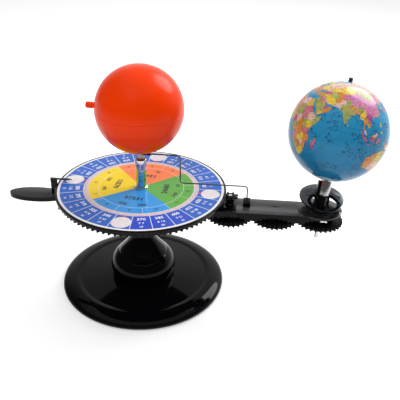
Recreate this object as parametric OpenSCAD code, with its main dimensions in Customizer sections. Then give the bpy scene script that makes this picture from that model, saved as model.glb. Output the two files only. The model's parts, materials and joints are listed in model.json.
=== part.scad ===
// Tellurion: a geared model of the Sun and the Earth on a turned stand.
// Millimetres. The origin is at the centre of the base's underside, on the
// central axis. +Z is up and +X runs along the arm towards the Earth.

/* [Base and column] */
// Radius of the base disc
base_r = 93; // [80:0.5:110]
// Height of the base disc
base_h = 10.9; // [9:0.1:16]
// Radius of the flat top of the base, inside the rounded rim
base_flat_r = 72; // [50:0.5:78]
// Height of the sharpest point of the rim above the underside
base_edge_z = 3.1; // [2:0.1:6]
// Radius of the rounding under the rim
base_under_r = 3; // [1:0.1:6]
// Radius of the column's foot
column_foot_r = 31; // [26:0.5:40]
// Widest radius of the column's bulb
column_bulb_r = 36.3; // [32:0.1:46]
// Height of the bulb's widest point above the base
column_bulb_z = 14.5; // [8:0.1:22]
// Height above the base where the neck begins
column_neck_z = 61; // [40:0.5:76]
// Radius of the neck
column_neck_r = 12; // [11:0.1:20]
// Shape of the curve from the bulb up to the neck; less than 1 draws it in sooner
column_draw = 0.7; // [0.5:0.05:1]
// Height of the column above the base
column_h = 84.2; // [80:0.5:110]
// Wall of the hollow column
column_wall = 5; // [3:0.1:8]
// Outer radius of the felt ring under the base
pad_r = 86; // [60:0.5:89]
// Width of the felt ring
pad_w = 14; // [6:0.5:20]
// Height by which the felt ring lifts the base
pad_lift = 0.6; // [0.4:0.1:1.5]

/* [Spindle] */
// Radius of the fixed spindle
spindle_r = 4; // [3:0.1:5]
// Radius of the recess for the nut under the base
recess_r = 13; // [11:0.5:20]
// Depth of the recess for the nut
recess_h = 6; // [5.5:0.1:8]
// Radius of the nut over its corners
nut_r = 7.5; // [6:0.1:9]
// Thickness of the nut
nut_h = 3.4; // [2:0.1:4]
// Thickness of the washer on the nut
tie_washer_h = 1.2; // [0.8:0.1:2]
// Radius of the washers on the spindle
washer_r = 10; // [8:0.5:12]
// Thickness of the thrust washer under the arm
thrust_h = 1.8; // [1:0.1:3]
// Height of the collar between the arm and the ring gear
retainer_h = 4.3; // [3:0.1:6]
// Radius of that collar
retainer_r = 8; // [7:0.1:12]

/* [Ring gear] */
// Teeth of the fixed ring gear
ring_teeth = 92; // [92]
// Teeth of the pinion that rolls round it
pinion_teeth = 8; // [8]
// Distance from the dial plate's edge out to the pinion's shaft
pinion_out = 4.6; // [3.7:0.1:6]
// Tooth height above the ring gear's pitch circle
ring_addendum = 1.15; // [0.8:0.05:1.4]
// Tooth height above the pinion's pitch circle
pinion_addendum = 1.2; // [0.8:0.05:1.4]
// Width of the ring gear's rim along the axis
ring_w = 3.6; // [3:0.1:4.5]
// Thickness of the ring gear's web
ring_web = 2.4; // [1.5:0.1:3]
// Radius of the ring gear's hub
ring_hub_r = 10; // [9:0.1:14]
// Height of the hub below the rim
ring_hub_h = 4.3; // [4:0.1:6]
// Width of the pinion's teeth along the axis
pinion_w = 2.2; // [1.5:0.1:2.6]
// Radius of the pinion's plain barrel
pinion_barrel_r = 4.4; // [3.6:0.1:4.4]

/* [Dial] */
// Radius of the dial plate
dial_r = 92.3; // [80:0.1:105]
// Thickness of the dial plate
dial_h = 3.7; // [2.5:0.1:5]
// Width of the raised rim around the print
dial_rim = 2.4; // [1.5:0.1:5]
// Thickness of the printed sheet
print_h = 0.4; // [0.3:0.1:1]
// Radius of the flange at the foot of the post
flange_r = 7.6; // [7:0.1:12]
// Height of that flange
flange_h = 1.8; // [1:0.1:3]

/* [Sun] */
// Outer radius of the post
post_r = 5.9; // [5.4:0.1:7]
// Height of the post above the dial
post_h = 33.6; // [30:0.1:36]
// Length of the spindle inside the post
spindle_in_post = 15; // [10:0.5:16]
// Thickness of the web inside the post, between spindle and neck
post_web = 2; // [1:0.1:3]
// Radius of the Sun's neck
neck_r = 2.85; // [2.4:0.05:3.4]
// Height of the collar on the post
collar_h = 0.9; // [0.6:0.1:2]
// Radius of that collar
collar_r = 5.2; // [4.5:0.1:5.8]
// Gap from the collar up to the Sun's underside
neck_show = 8.9; // [8:0.1:14]
// Radius of the Sun
sun_r = 45.7; // [40:0.1:50]
// Wall of the Sun's two shells
sun_wall = 2; // [1.2:0.1:3]
// Radius of the peg on the Sun's back
peg_r = 3.3; // [2:0.1:4]
// Length of the peg outside the Sun
peg_l = 9.5; // [5:0.1:14]
// Angle of the peg above the Sun's equator
peg_rise = 2.4; // [0:0.1:20]

/* [Arm] */
// Width of the arm
arm_w = 32.5; // [31:0.1:36]
// Height of the arm
arm_h = 9.2; // [8.6:0.1:12]
// Length of the arm behind the spindle
arm_back = 90; // [76:0.5:92]
// Wall of the arm's sides
arm_wall = 1.9; // [1.4:0.1:2]
// Thickness of the arm's top
arm_top_h = 2; // [1.4:0.1:2.4]
// Thickness of the cover under the arm
cover_h = 1.2; // [0.8:0.1:1.6]
// Radius of the bushes on the spindle
hub_bush_r = 8; // [7:0.1:10]
// Length of the saddle over the pinion's bearing
saddle_l = 20; // [16:0.5:26]
// Wall of the saddle
saddle_wall = 1.2; // [0.8:0.1:2]
// Radius of the bright bearing collar under the pinion
bearing_r = 3.7; // [3.2:0.1:4.2]
// Radius of the dark dish around the bearing collar
dish_r = 5.4; // [4.8:0.1:7]
// Height of the dish
dish_h = 0.7; // [0.5:0.1:1]
// Length of the bright clip on the arm's end
clip_l = 7.4; // [5:0.1:9]
// Height of that clip
clip_w = 2.8; // [2:0.1:4]
// Height of the clip's face off the arm
clip_h = 0.8; // [0.5:0.1:1.2]

/* [Gear train] */
// Teeth of each of the three equal gears
train_teeth = 28; // [28]
// Distance between neighbouring gear shafts
train_pitch = 48.9; // [48:0.1:49.6]
// Tooth height above the pitch circle
train_addendum = 1.05; // [0.7:0.05:1.2]
// Room between a tooth's tip and the root it points into
train_root_gap = 0.8; // [0.4:0.1:1.4]
// Width of the gears along the axis
train_w = 4.6; // [3:0.1:6]
// Radius of the gears' hubs
train_hub_r = 7; // [6:0.1:10]
// Height of the hubs below the gears
train_hub_h = 2; // [1:0.1:3]
// Radius of the pinion's shaft
shaft_1_r = 2; // [1.6:0.1:2.4]
// Radius of the idler's stud
stud_r = 2.5; // [2:0.1:3]
// Radius of the Earth's drive shaft
shaft_3_r = 2.5; // [2:0.1:2.8]
// Length of the drive shaft below the arm
shaft_drop = 24.7; // [16:0.1:30]
// Radius of the bushes for the two shafts
bush_r = 5.5; // [5:0.1:7]
// Outer radius of the carrier's bearing
carrier_bush_r = 8; // [7:0.1:10]

/* [Belt] */
// Radius of the two equal pulleys at the belt
pulley_r = 12.4; // [11.4:0.1:12.6]
// Height of the belt
belt_w = 2.6; // [2:0.1:2.8]
// Thickness of the belt
belt_t = 0.9; // [0.6:0.1:1]
// Thickness of each pulley flange
pulley_flange = 0.5; // [0.4:0.1:0.6]

/* [Handle and pointer] */
// Distance from the axis to the handle's tip
handle_x = 147.5; // [130:0.5:160]
// Half the width of the oval handle
handle_r = 12.2; // [9:0.1:14]
// Half the length of the oval handle
handle_l = 30.7; // [24:0.1:34]
// Thickness of the handle
handle_h = 5; // [3:0.1:6]
// Height of the handle's top above the arm
handle_rise = 1.9; // [1.2:0.1:2.4]
// Length of the tongue that lies on the arm
tongue_l = 22; // [16:0.5:30]
// Half the width of the tongue
tongue_r = 8; // [6:0.1:11]
// Gap between the dial's edge and the pointer's post
pointer_gap = 0.7; // [0.4:0.1:4]
// Width of the pointer's post
pointer_post_w = 7.3; // [4:0.1:9]
// Thickness of the pointer's post
pointer_post_t = 1.5; // [1:0.1:2.5]
// Height of the pointer above the dial
pointer_rise = 3.6; // [2:0.1:6]
// Length of the pointer from the post's outer edge
pointer_l = 24; // [16:0.5:34]
// Width of the pointer
pointer_w = 5.2; // [4:0.1:7]
// Width of the pointer behind its head
pointer_waist = 3.6; // [2.5:0.1:4]
// Thickness of the pointer
pointer_t = 0.8; // [0.6:0.1:1.5]

/* [Wire crank] */
// Radius of the wire
wire_r = 0.75; // [0.6:0.05:1.2]
// Radius of the wire's bends
wire_bend_r = 3.8; // [2.5:0.1:5]
// Distance from the axis to the first drop
wire_drop_x = 42.2; // [30:0.1:60]
// Height of the low run above the dial
wire_low = 7.4; // [6:0.1:12]
// Distance from the pinion's shaft out to the wire's socket
socket_out = 18.1; // [17:0.1:25]
// Width of the socket
socket_w = 7.5; // [5:0.1:10]
// Height of the socket above the arm
socket_h = 8.2; // [6:0.1:12]
// Distance from the Sun's neck to the end of the wire's sleeve
wire_sleeve_l = 7.8; // [5:0.1:12]
// Radius of the wire's sleeve
wire_sleeve_r = 1.7; // [1.3:0.1:2.4]

/* [Carrier] */
// Radius of the round carrier disc on the arm's end
carrier_r = 23.3; // [20:0.1:26]
// Thickness of the carrier disc
carrier_h = 1.6; // [1.2:0.1:3]
// Outer radius of the carrier's hollow hub
carrier_hub_r = 5; // [4.4:0.1:6]
// Radius of the slanting stage plate
stage_r = 24; // [20:0.1:27]
// Thickness of the stage plate
stage_h = 1.6; // [1:0.1:2.4]
// Height of the stage plate above the carrier disc, on the shaft's axis
stage_rise = 6.4; // [6:0.1:9]
// Slant of the stage plate
stage_slant = 8; // [0:0.5:10]
// Radius of the hole in the stage plate
stage_hole_r = 14; // [12.5:0.1:15]
// Width of the ring around that hole
stage_ring_w = 3.7; // [2:0.1:5]
// Height of that ring above the plate
stage_ring_h = 0.8; // [0.4:0.1:1.5]
// Shift of the hole from the shaft, along the arm
stage_hole_x = 2.9; // [0:0.1:4]
// Shift of the plate's middle from its hole, away from the front
stage_back = 10; // [6:0.1:11]
// Width of the front post that carries the stage
stage_post_w = 6.4; // [4:0.1:9]
// Thickness of the front post
stage_post_t = 2.4; // [1.5:0.1:3]
// Radius of the two rear posts
stage_rear_r = 1.6; // [1.2:0.1:2.4]
// Radius of the socket in the stage plate
socket_bore_r = 1.2; // [0.8:0.1:1.6]

/* [Globe] */
// Tilt of the Earth's axis
earth_tilt = 23.4; // [20:0.1:25]
// Direction in which the axis leans, from +X towards +Y
earth_lean = 67; // [50:1:90]
// Height of the point where both axes meet, above the carrier disc
crown_rise = 2.9; // [2.7:0.1:3.4]
// Distance along the axis from that point to the globe's centre
globe_reach = 81.4; // [78:0.1:90]
// Radius of the globe
globe_r = 53; // [48:0.5:55]
// Wall of the globe's two shells
globe_wall = 1.8; // [1.2:0.1:3]
// Radius of the globe's axle
axle_r = 2.5; // [2:0.1:3]
// Radius of the bright axis sleeve
sleeve_r = 6.2; // [4.8:0.1:6.5]
// Distance along the axis from the crossing to the sleeve
sleeve_from = 12.5; // [12:0.1:15]
// Teeth of each crown wheel
crown_teeth = 12; // [8:4:16]
// Radius of the crown wheels
crown_r = 4.9; // [4.4:0.1:5.2]
// Radius of the pin at the north pole
top_pin_r = 1.4; // [1:0.1:1.8]
// Radius of the pin's cap on the north pole
top_cap_r = 2.3; // [1.9:0.1:3.5]
// Height of the cap above the north pole
top_pin_h = 4.7; // [3:0.1:8]

/* [Hidden] */

$fn = 96;
// Radial room of a running fit, and of a piece that slides on in assembly
fit = 0.05;
slip = 0.1;
// Gap between faces that turn past each other
gap = 0.3;
// Gap between a thrust face and its washer
thrust_gap = 0.1;
// Overshoot of a cut beyond the face that it opens
cut = 1;
// A size larger than the whole instrument, for cutting half spaces
far = 500;

// Levels of the stand, from the floor up
base_z = pad_lift;
base_top = base_z + base_h;
column_top = base_top + column_h;
thrust_top = column_top + thrust_h;
arm_z = thrust_top + 2 * thrust_gap;
arm_top = arm_z + arm_h;
cavity_top = arm_top - arm_top_h;
cover_top = arm_z + cover_h;
bush_low_z = arm_z - thrust_gap;
bush_lip = 1;
bush_low_top = cover_top + bush_lip;
bush_high_top = arm_top + thrust_gap;
retainer_z = bush_high_top + thrust_gap;
ring_hub_z = retainer_z + retainer_h;
ring_z = ring_hub_z + ring_hub_h;
ring_top = ring_z + ring_w;
dial_z = ring_top + gap;
dial_top = dial_z + dial_h;
print_top = dial_top - slip;
post_top = print_top + post_h;
collar_top = post_top + collar_h;
spindle_top = print_top + spindle_in_post;
neck_z = spindle_top + slip + post_web;
sun_z = collar_top + neck_show + sun_r;
spindle_below_nut = 0.4;
spindle_low = base_z + recess_h - tie_washer_h - nut_h - spindle_below_nut;

// Pulleys and belt inside the arm, between the lower bushes and the arm's top
pulley_z = bush_low_top + thrust_gap;
pulley_top = pulley_z + 2 * pulley_flange + belt_w + 2 * gap;
belt_z = pulley_z + pulley_flange + gap;
belt_in_r = pulley_r + gap;

// Places along the arm: shafts, the wire's socket and the pointer's post
pinion_x = dial_r + pinion_out;
pointer_x = dial_r + pointer_gap + pointer_post_w / 2;
socket_x = pinion_x + socket_out;
gear_2_x = pinion_x + train_pitch;
gear_3_x = gear_2_x + train_pitch;

// Tooth sizes: the pitch circles meet on the line of centres. A tooth's half
// angles are given at its root and at its tip.
ring_half_root = 1.02;
ring_half_tip = 0.5;
pinion_half_root = 12.5;
pinion_half_tip = 3.6;
train_half_root = 3.7;
train_half_tip = 1.1;
ring_pitch_r = pinion_x * ring_teeth / (ring_teeth + pinion_teeth);
pinion_pitch_r = pinion_x - ring_pitch_r;
ring_tip_r = ring_pitch_r + ring_addendum;
pinion_tip_r = pinion_pitch_r + pinion_addendum;
root_gap = 0.35;
ring_root_r = pinion_x - pinion_tip_r - root_gap;
pinion_root_r = pinion_x - ring_tip_r - root_gap;
train_r = train_pitch / 2;
train_tip_r = train_r + train_addendum;
train_root_r = train_pitch - train_tip_r - train_root_gap;
train_gap = 0.2;
train_z = arm_z - train_gap - train_w;
train_hub_z = train_z - train_hub_h;
pinion_z = ring_z + (ring_w - pinion_w) / 2;

// Carrier and stage
carrier_z = arm_top + gap;
carrier_top = carrier_z + carrier_h;
crown_z = carrier_top + crown_rise;
carrier_step = 1;
carrier_lip_r = carrier_hub_r - carrier_step;
stage_z = carrier_top + stage_rise;
stage_lean = -70;
stage_front_az = -80;

// Crown teeth: the two pitch cones meet half way between the two axes
cone_rise = tan(earth_tilt / 2);
crown_addendum = 0.5;
crown_dedendum = 0.75;
sleeve_room = 1.2;
crown_hub_top = sleeve_from - sleeve_room;
crown_bar_w = 0.95;
crown_bar_tip = 0.5;
crown_in_r = 2.9;
crown_gap = 0.2;
crown_tooth_short = 0.2;
crown_tooth_sink = 0.1;

sleeve_gap = 0.4;
sleeve_top = globe_reach - globe_r - sleeve_gap;

// Wire levels
wire_high = 5.2;
wire_high_z = collar_top + wire_high;
wire_low_z = print_top + wire_low;
socket_top = arm_top + socket_h;
socket_depth = 5;
// Room between the neck's face and the wire's end inside the sleeve
wire_start = 1;

// A tube or ring standing on z0
module ring_at(z0, h, r_out, r_in) {
  translate([0, 0, z0])
    difference() {
      cylinder(h = h, r = r_out);
      translate([0, 0, -cut]) cylinder(h = h + 2 * cut, r = r_in);
    }
}

// Outline of a gear with straight-sided teeth. half_root and half_tip are half
// angles of a tooth. turn puts the middle of a tooth at that angle.
function tooth_points(r_root, r_tip, half_root, half_tip, a) = [
  r_root * [cos(a - half_root), sin(a - half_root)],
  r_tip * [cos(a - half_tip), sin(a - half_tip)],
  r_tip * [cos(a + half_tip), sin(a + half_tip)],
  r_root * [cos(a + half_root), sin(a + half_root)]
];
module gear_outline(teeth, r_root, r_tip, half_root, half_tip, turn) {
  polygon([
    for (i = [0 : teeth - 1])
      for (p = tooth_points(r_root, r_tip, half_root, half_tip, turn + i * 360 / teeth)) p
  ]);
}

// The flat stadium that the belt, the arm and the cover share
module stadium(r, x0, x1) {
  translate([x0, -r]) square([x1 - x0, 2 * r]);
  translate([x1, 0]) circle(r = r);
}

// A small countersunk or cheese screw, head up, its head's underside at z0
slot_w = 0.8;
slot_depth = 0.6;
module screw(z0, head_r, head_h, shank_r, shank_l) {
  translate([0, 0, z0])
    difference() {
      cylinder(h = head_h, r = head_r, $fn = 32);
      translate([-head_r - cut, -slot_w / 2, head_h - slot_depth])
        cube([2 * head_r + 2 * cut, slot_w, slot_depth + cut]);
    }
  translate([0, 0, z0 - shank_l]) cylinder(h = shank_l, r = shank_r, $fn = 32);
}

// Places a shape in the Earth's tilted frame: its Z runs along the Earth's axis
module tilted() {
  translate([gear_3_x, 0, crown_z])
    rotate([0, 0, earth_lean])
      rotate([0, earth_tilt, 0])
        children();
}

// Places a shape in the slanting plane of the stage, at the hole's centre
module on_stage() {
  translate([gear_3_x, 0, stage_z])
    rotate([0, 0, stage_lean])
      rotate([0, stage_slant, 0])
        rotate([0, 0, -stage_lean])
          translate([stage_hole_x, 0, 0])
            children();
}

// Base and column

function base_rim(a) = [
  base_flat_r + (base_r - base_flat_r) * cos(a),
  base_z + base_edge_z + (base_h - base_edge_z) * sin(a)
];
module base_disc() {
  color("#151518")
    difference() {
      rotate_extrude()
        polygon(concat(
          [[0, base_z], [base_r - base_under_r, base_z]],
          [for (a = [-72 : 18 : -18])
            [base_r - base_under_r * (1 - cos(a)), base_z + base_edge_z * (1 + sin(a))]],
          [for (a = [0 : 9 : 90]) base_rim(a)],
          [[0, base_top]]
        ));
      translate([0, 0, base_z - cut]) cylinder(h = recess_h + cut, r = recess_r);
      translate([0, 0, base_z]) cylinder(h = base_h + cut, r = spindle_r + slip);
      ring_at(base_z - cut, pad_lift + cut, pad_r + slip, pad_r - pad_w - slip);
    }
}

module base_pad() {
  color("#1e1c1a") ring_at(0, 2 * pad_lift, pad_r, pad_r - pad_w);
}

// Radius of the column at a height above the base
function column_r(z) =
  z < column_bulb_z
    ? column_foot_r + (column_bulb_r - column_foot_r) * sqrt(1 - pow(1 - z / column_bulb_z, 2))
    : z < column_neck_z
      ? column_neck_r + (column_bulb_r - column_neck_r)
        * (1 + cos(180 * pow((z - column_bulb_z) / (column_neck_z - column_bulb_z), column_draw))) / 2
      : column_neck_r;
column_steps = concat(
  [for (a = [0 : 15 : 75]) column_bulb_z * (1 - cos(a))],
  [for (i = [0 : 18]) column_bulb_z + i * (column_neck_z - column_bulb_z) / 18],
  [column_h]
);
column_cap = 8;
module column() {
  color("#121215")
    translate([0, 0, base_top])
      rotate_extrude()
        polygon(concat(
          [for (z = column_steps) [column_r(z), z]],
          [[spindle_r + slip, column_h], [spindle_r + slip, column_h - column_cap]],
          [[column_neck_r - column_wall, column_h - column_cap]],
          [for (i = [len(column_steps) - 2 : -1 : 0])
            [column_r(column_steps[i]) - column_wall, column_steps[i]]]
        ));
}

// Spindle, its nut and washers

module tie_washer() {
  color("silver")
    ring_at(base_z + recess_h - tie_washer_h, tie_washer_h, washer_r, spindle_r + slip);
}

module tie_nut() {
  color("silver")
    translate([0, 0, base_z + recess_h - tie_washer_h - nut_h])
      difference() {
        cylinder(h = nut_h, r = nut_r, $fn = 6);
        translate([0, 0, -cut]) cylinder(h = nut_h + 2 * cut, r = spindle_r);
      }
}

module spindle() {
  color("silver")
    translate([0, 0, spindle_low]) cylinder(h = spindle_top - spindle_low, r = spindle_r);
}

module thrust_washer() {
  color("silver") ring_at(column_top, thrust_h, washer_r, spindle_r + slip);
}

module pulley(bore_r) {
  difference() {
    union() {
      translate([0, 0, pulley_z]) cylinder(h = pulley_top - pulley_z, r = pulley_r);
      for (z = [pulley_z, pulley_top - pulley_flange])
        translate([0, 0, z]) cylinder(h = pulley_flange, r = belt_in_r + belt_t - gap);
    }
    translate([0, 0, pulley_z - cut]) cylinder(h = pulley_top - pulley_z + 2 * cut, r = bore_r);
  }
}

module fixed_pulley() {
  color("#c9b37a") pulley(spindle_r);
}

module arm_retainer() {
  color("silver") ring_at(retainer_z, retainer_h, retainer_r, spindle_r + slip);
}

// Ring gear. A tooth points along +X, at the pinion.

module ring_gear() {
  color("#1b1b20")
    difference() {
      union() {
        translate([0, 0, ring_z])
          linear_extrude(ring_w)
            gear_outline(ring_teeth, ring_root_r, ring_tip_r, ring_half_root, ring_half_tip, 0);
        translate([0, 0, ring_hub_z]) cylinder(h = dial_z - ring_hub_z, r = ring_hub_r);
      }
      translate([0, 0, ring_z - cut])
        difference() {
          cylinder(h = ring_w - ring_web + cut, r = ring_root_r - ring_rim);
          translate([0, 0, -cut]) cylinder(h = ring_w + 3 * cut, r = ring_hub_r);
        }
      translate([0, 0, ring_hub_z - cut])
        cylinder(h = dial_z - ring_hub_z + 2 * cut, r = spindle_r + slip);
      translate([0, 0, grub_z]) rotate([90, 0, 0]) cylinder(h = far, r = grub_r, $fn = 32);
    }
}
ring_rim = 6;
grub_r = 1.2;
grub_inset = 0.5;
grub_z = ring_hub_z + ring_hub_h / 2;

module gear_grub_screw() {
  color("silver")
    translate([0, -spindle_r, grub_z])
      rotate([90, 0, 0])
        cylinder(h = ring_hub_r - spindle_r - grub_inset, r = grub_r, $fn = 32);
}

// Dial, its print and the Sun's post. The flange laps over the print's inner edge.
flange_lap = 1;

module dial_plate() {
  color("#17171b")
    difference() {
      translate([0, 0, dial_z]) cylinder(h = dial_h, r = dial_r, $fn = 180);
      translate([0, 0, dial_top - print_h - slip])
        cylinder(h = print_h + cut, r = dial_r - dial_rim, $fn = 180);
      translate([0, 0, dial_z - cut]) cylinder(h = dial_h + cut, r = spindle_r + slip);
    }
}

module dial_print() {
  color("#3c78c8")
    ring_at(print_top - print_h, print_h, dial_r - dial_rim - slip, flange_r - flange_lap);
}

module dial_flange() {
  color("#111114") {
    ring_at(print_top - print_h, print_h, flange_r - flange_lap - slip, post_r);
    ring_at(print_top, flange_h, flange_r, post_r);
  }
}

module sun_post() {
  color("#d9dade")
    difference() {
      translate([0, 0, print_top - print_h])
        cylinder(h = post_top - print_top + print_h, r = post_r);
      translate([0, 0, print_top - print_h - cut])
        cylinder(h = spindle_in_post + print_h + cut + slip, r = spindle_r);
      translate([0, 0, neck_z]) cylinder(h = post_h, r = neck_r + fit);
    }
}

module post_collar() {
  color("#7c1d1d") ring_at(post_top, collar_h, collar_r, neck_r + fit);
}

// Arm: a channel closed from below by a cover

module arm_beam() {
  color("#1c1c20")
    difference() {
      translate([0, 0, arm_z])
        linear_extrude(arm_h) stadium(arm_w / 2, -arm_back, gear_3_x, $fn = 96);
      translate([0, 0, arm_z - cut])
        linear_extrude(cavity_top - arm_z + cut)
          stadium(arm_w / 2 - arm_wall, -arm_back + arm_wall, gear_3_x, $fn = 96);
      translate([0, 0, arm_z]) cylinder(h = arm_h + cut, r = hub_bush_r);
      translate([pinion_x, 0, arm_z]) cylinder(h = arm_h + cut, r = bearing_r);
      translate([gear_2_x, 0, arm_z]) cylinder(h = arm_h + cut, r = stud_r);
      translate([gear_3_x, 0, arm_z]) cylinder(h = arm_h + cut, r = carrier_bush_r);
      translate([socket_x, 0, arm_z]) cylinder(h = arm_h + cut, r = socket_pin_r);
      for (x = handle_screw_x)
        translate([x, 0, arm_z]) cylinder(h = arm_h + cut, r = screw_shank_r, $fn = 32);
      translate([clip_x, 0, clip_z])
        rotate([90, 0, 0]) cylinder(h = arm_w, r = clip_pin_r, $fn = 32);
    }
}

module arm_cover() {
  color("#1c1c20")
    difference() {
      translate([0, 0, arm_z])
        linear_extrude(cover_h)
          stadium(arm_w / 2 - arm_wall, -arm_back + arm_wall, gear_3_x, $fn = 96);
      translate([0, 0, arm_z - cut]) cylinder(h = cover_h + 2 * cut, r = hub_bush_r);
      for (x = [pinion_x, gear_3_x])
        translate([x, 0, arm_z - cut]) cylinder(h = cover_h + 2 * cut, r = bush_r);
      translate([gear_2_x, 0, arm_z - cut]) cylinder(h = cover_h + 2 * cut, r = stud_r);
      for (x = cover_screw_x)
        translate([x, 0, arm_z - cut])
          cylinder(h = cover_h + 2 * cut, r = screw_shank_r, $fn = 32);
    }
}

// Screws of the cover reach up into the arm's top; those of the handle go down
screw_head_r = 2.4;
screw_head_h = 1.1;
screw_shank_r = 1.1;
cover_screw_in = 12;
cover_screw_out = 40;
cover_screw_x = [-arm_back + cover_screw_in, cover_screw_out];
module cover_screws() {
  color("silver")
    for (x = cover_screw_x)
      translate([x, 0, 0])
        rotate([180, 0, 0])
          screw(-arm_z, screw_head_r, screw_head_h, screw_shank_r, cavity_top - arm_z);
}

module hub_bushes() {
  color("#c8a255") {
    ring_at(bush_low_z, bush_low_top - bush_low_z, hub_bush_r, spindle_r + fit);
    ring_at(cavity_top, bush_high_top - cavity_top, hub_bush_r, spindle_r + fit);
  }
}

module shaft_bushes() {
  color("#c8a255") {
    translate([pinion_x, 0, 0])
      ring_at(bush_low_z, bush_low_top - bush_low_z, bush_r, shaft_1_r + fit);
    translate([gear_3_x, 0, 0])
      ring_at(bush_low_z, bush_low_top - bush_low_z, bush_r, shaft_3_r + fit);
    translate([gear_3_x, 0, 0])
      ring_at(cavity_top, bush_high_top - cavity_top, carrier_bush_r, carrier_hub_r + fit);
  }
}

// Bearing of the pinion's shaft, on a saddle over the arm
saddle_top = arm_top + saddle_wall;
bearing_rise = 1.3;
bearing_top = saddle_top + bearing_rise;
bearing_lap = 0.6;
saddle_out = 7.1;
module bearing_saddle() {
  color("#101013")
    difference() {
      translate([pinion_x + saddle_out - saddle_l, -arm_w / 2 - saddle_wall, arm_z])
        cube([saddle_l, arm_w + 2 * saddle_wall, arm_h + saddle_wall]);
      translate([pinion_x - far / 2, -arm_w / 2, arm_z - cut]) cube([far, arm_w, arm_h + cut]);
      translate([pinion_x, 0, arm_z]) cylinder(h = far, r = bearing_r);
    }
}

module bearing_dish() {
  color("#0c0c0e") translate([pinion_x, 0, 0]) ring_at(saddle_top, dish_h, dish_r, bearing_r);
}

module bearing_collar() {
  color("#d9dade")
    translate([pinion_x, 0, 0])
      ring_at(cavity_top - bearing_lap, bearing_top - cavity_top + bearing_lap, bearing_r, shaft_1_r + fit);
}

// Stud on which the middle gear turns, and the clip that holds the gear on it
stud_below = 1.4;
stud_sink = 0.6;
stud_step = 2;
stud_clip_h = 0.9;
stud_low = train_hub_z - stud_below;
module idler_stud() {
  color("#202024") {
    translate([gear_2_x, 0, stud_low])
      cylinder(h = arm_top - stud_sink - stud_low, r = stud_r);
    translate([gear_2_x, 0, 0])
      ring_at(cover_top, cavity_top - cover_top, stud_r + stud_step, stud_r);
  }
}

module idler_clip() {
  color("silver")
    translate([gear_2_x, 0, 0]) ring_at(stud_low + gap, stud_clip_h, stud_r + stud_step, stud_r);
}

module belt() {
  color("#25231f")
    translate([0, 0, belt_z])
      linear_extrude(belt_w)
        difference() {
          belt_outline(belt_in_r + belt_t);
          belt_outline(belt_in_r);
        }
}
module belt_outline(r) {
  stadium(r, 0, gear_3_x);
  circle(r = r);
}

// Handle, a flat paddle whose tongue lies on the arm
handle_z = arm_top + handle_rise - handle_h;
handle_screw_in = [7, 16];
handle_screw_x = [for (d = handle_screw_in) d - arm_back];
handle_lap = 4;
handle_root_x = handle_lap - arm_back;
module handle_outline() {
  polygon([for (a = [0 : 5 : 355])
    [handle_l * (1 + cos(a)) - handle_x, handle_r * sin(a)]]);
  translate([handle_l - handle_x, -tongue_r])
    square([handle_x - handle_l + handle_root_x, 2 * tongue_r]);
}
module handle() {
  color("#141417")
    difference() {
      union() {
        difference() {
          translate([0, 0, handle_z]) linear_extrude(handle_h) handle_outline();
          translate([-arm_back - slip, -far / 2, arm_top - far])
            cube([far, far, far]);
        }
        translate([-arm_back - handle_lap, -tongue_r, arm_top])
          cube([tongue_l + handle_lap, 2 * tongue_r, handle_rise]);
      }
      translate([-pointer_x - pointer_post_w / 2, -pointer_post_t / 2, handle_z - cut])
        cube([pointer_post_w, pointer_post_t, handle_h + 2 * cut]);
      for (x = handle_screw_x)
        translate([x, 0, arm_top - cut])
          cylinder(h = handle_h, r = screw_shank_r, $fn = 32);
    }
}
module handle_screws() {
  color("silver")
    for (x = handle_screw_x)
      translate([x, 0, 0])
        screw(arm_top + handle_rise, screw_head_r, screw_head_h, screw_shank_r,
          handle_rise + arm_top_h);
}

pointer_z = print_top + pointer_rise;
pointer_post_below = 3.2;
// Shares of the pointer's length where its waist ends and where its head is widest
pointer_waist_end = 0.5;
pointer_shoulder = 0.75;
module pointer_post() {
  color("#141417")
    translate([-pointer_x - pointer_post_w / 2, -pointer_post_t / 2, handle_z - pointer_post_below])
      cube([pointer_post_w, pointer_post_t, pointer_z - handle_z + pointer_post_below]);
}

module pointer() {
  color("#141417")
    translate([-pointer_x - pointer_post_w / 2, 0, pointer_z])
      linear_extrude(pointer_t)
        polygon([
          [0, -pointer_w / 2], [pointer_post_w, -pointer_waist / 2],
          [pointer_l * pointer_waist_end, -pointer_waist / 2],
          [pointer_l * pointer_shoulder, -pointer_w / 2], [pointer_l, 0],
          [pointer_l * pointer_shoulder, pointer_w / 2],
          [pointer_l * pointer_waist_end, pointer_waist / 2],
          [pointer_post_w, pointer_waist / 2], [0, pointer_w / 2]
        ]);
}

// Bright clip on the front wall at the arm's end, with its pin through the wall
clip_out = 2.7;
clip_rise = 4;
clip_x = gear_3_x + clip_out;
clip_z = arm_z + clip_rise;
clip_pin_r = 1;
module end_clip() {
  color("#d9dade") {
    translate([clip_x, 0, clip_z])
      rotate([90, 0, 0])
        translate([0, 0, arm_w / 2])
          linear_extrude(clip_h)
            union() {
              square([clip_l - clip_w, clip_w], center = true);
              for (s = [-1, 1])
                translate([s * (clip_l - clip_w) / 2, 0]) circle(r = clip_w / 2, $fn = 32);
            }
    translate([clip_x, 0, clip_z])
      rotate([90, 0, 0])
        translate([0, 0, arm_w / 2 - arm_wall])
          cylinder(h = arm_wall, r = clip_pin_r, $fn = 32);
  }
}

// Wire crank, its socket on the arm and its sleeve at the Sun's neck
socket_pin_r = 2;
module wire_socket() {
  color("#0e0e11")
    difference() {
      union() {
        translate([socket_x - socket_w / 2, -socket_w / 2, arm_top])
          cube([socket_w, socket_w, socket_h]);
        translate([socket_x, 0, cavity_top])
          cylinder(h = arm_top_h, r = socket_pin_r);
      }
      translate([socket_x, 0, socket_top - socket_depth])
        cylinder(h = socket_depth + cut, r = wire_r);
    }
}

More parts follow.
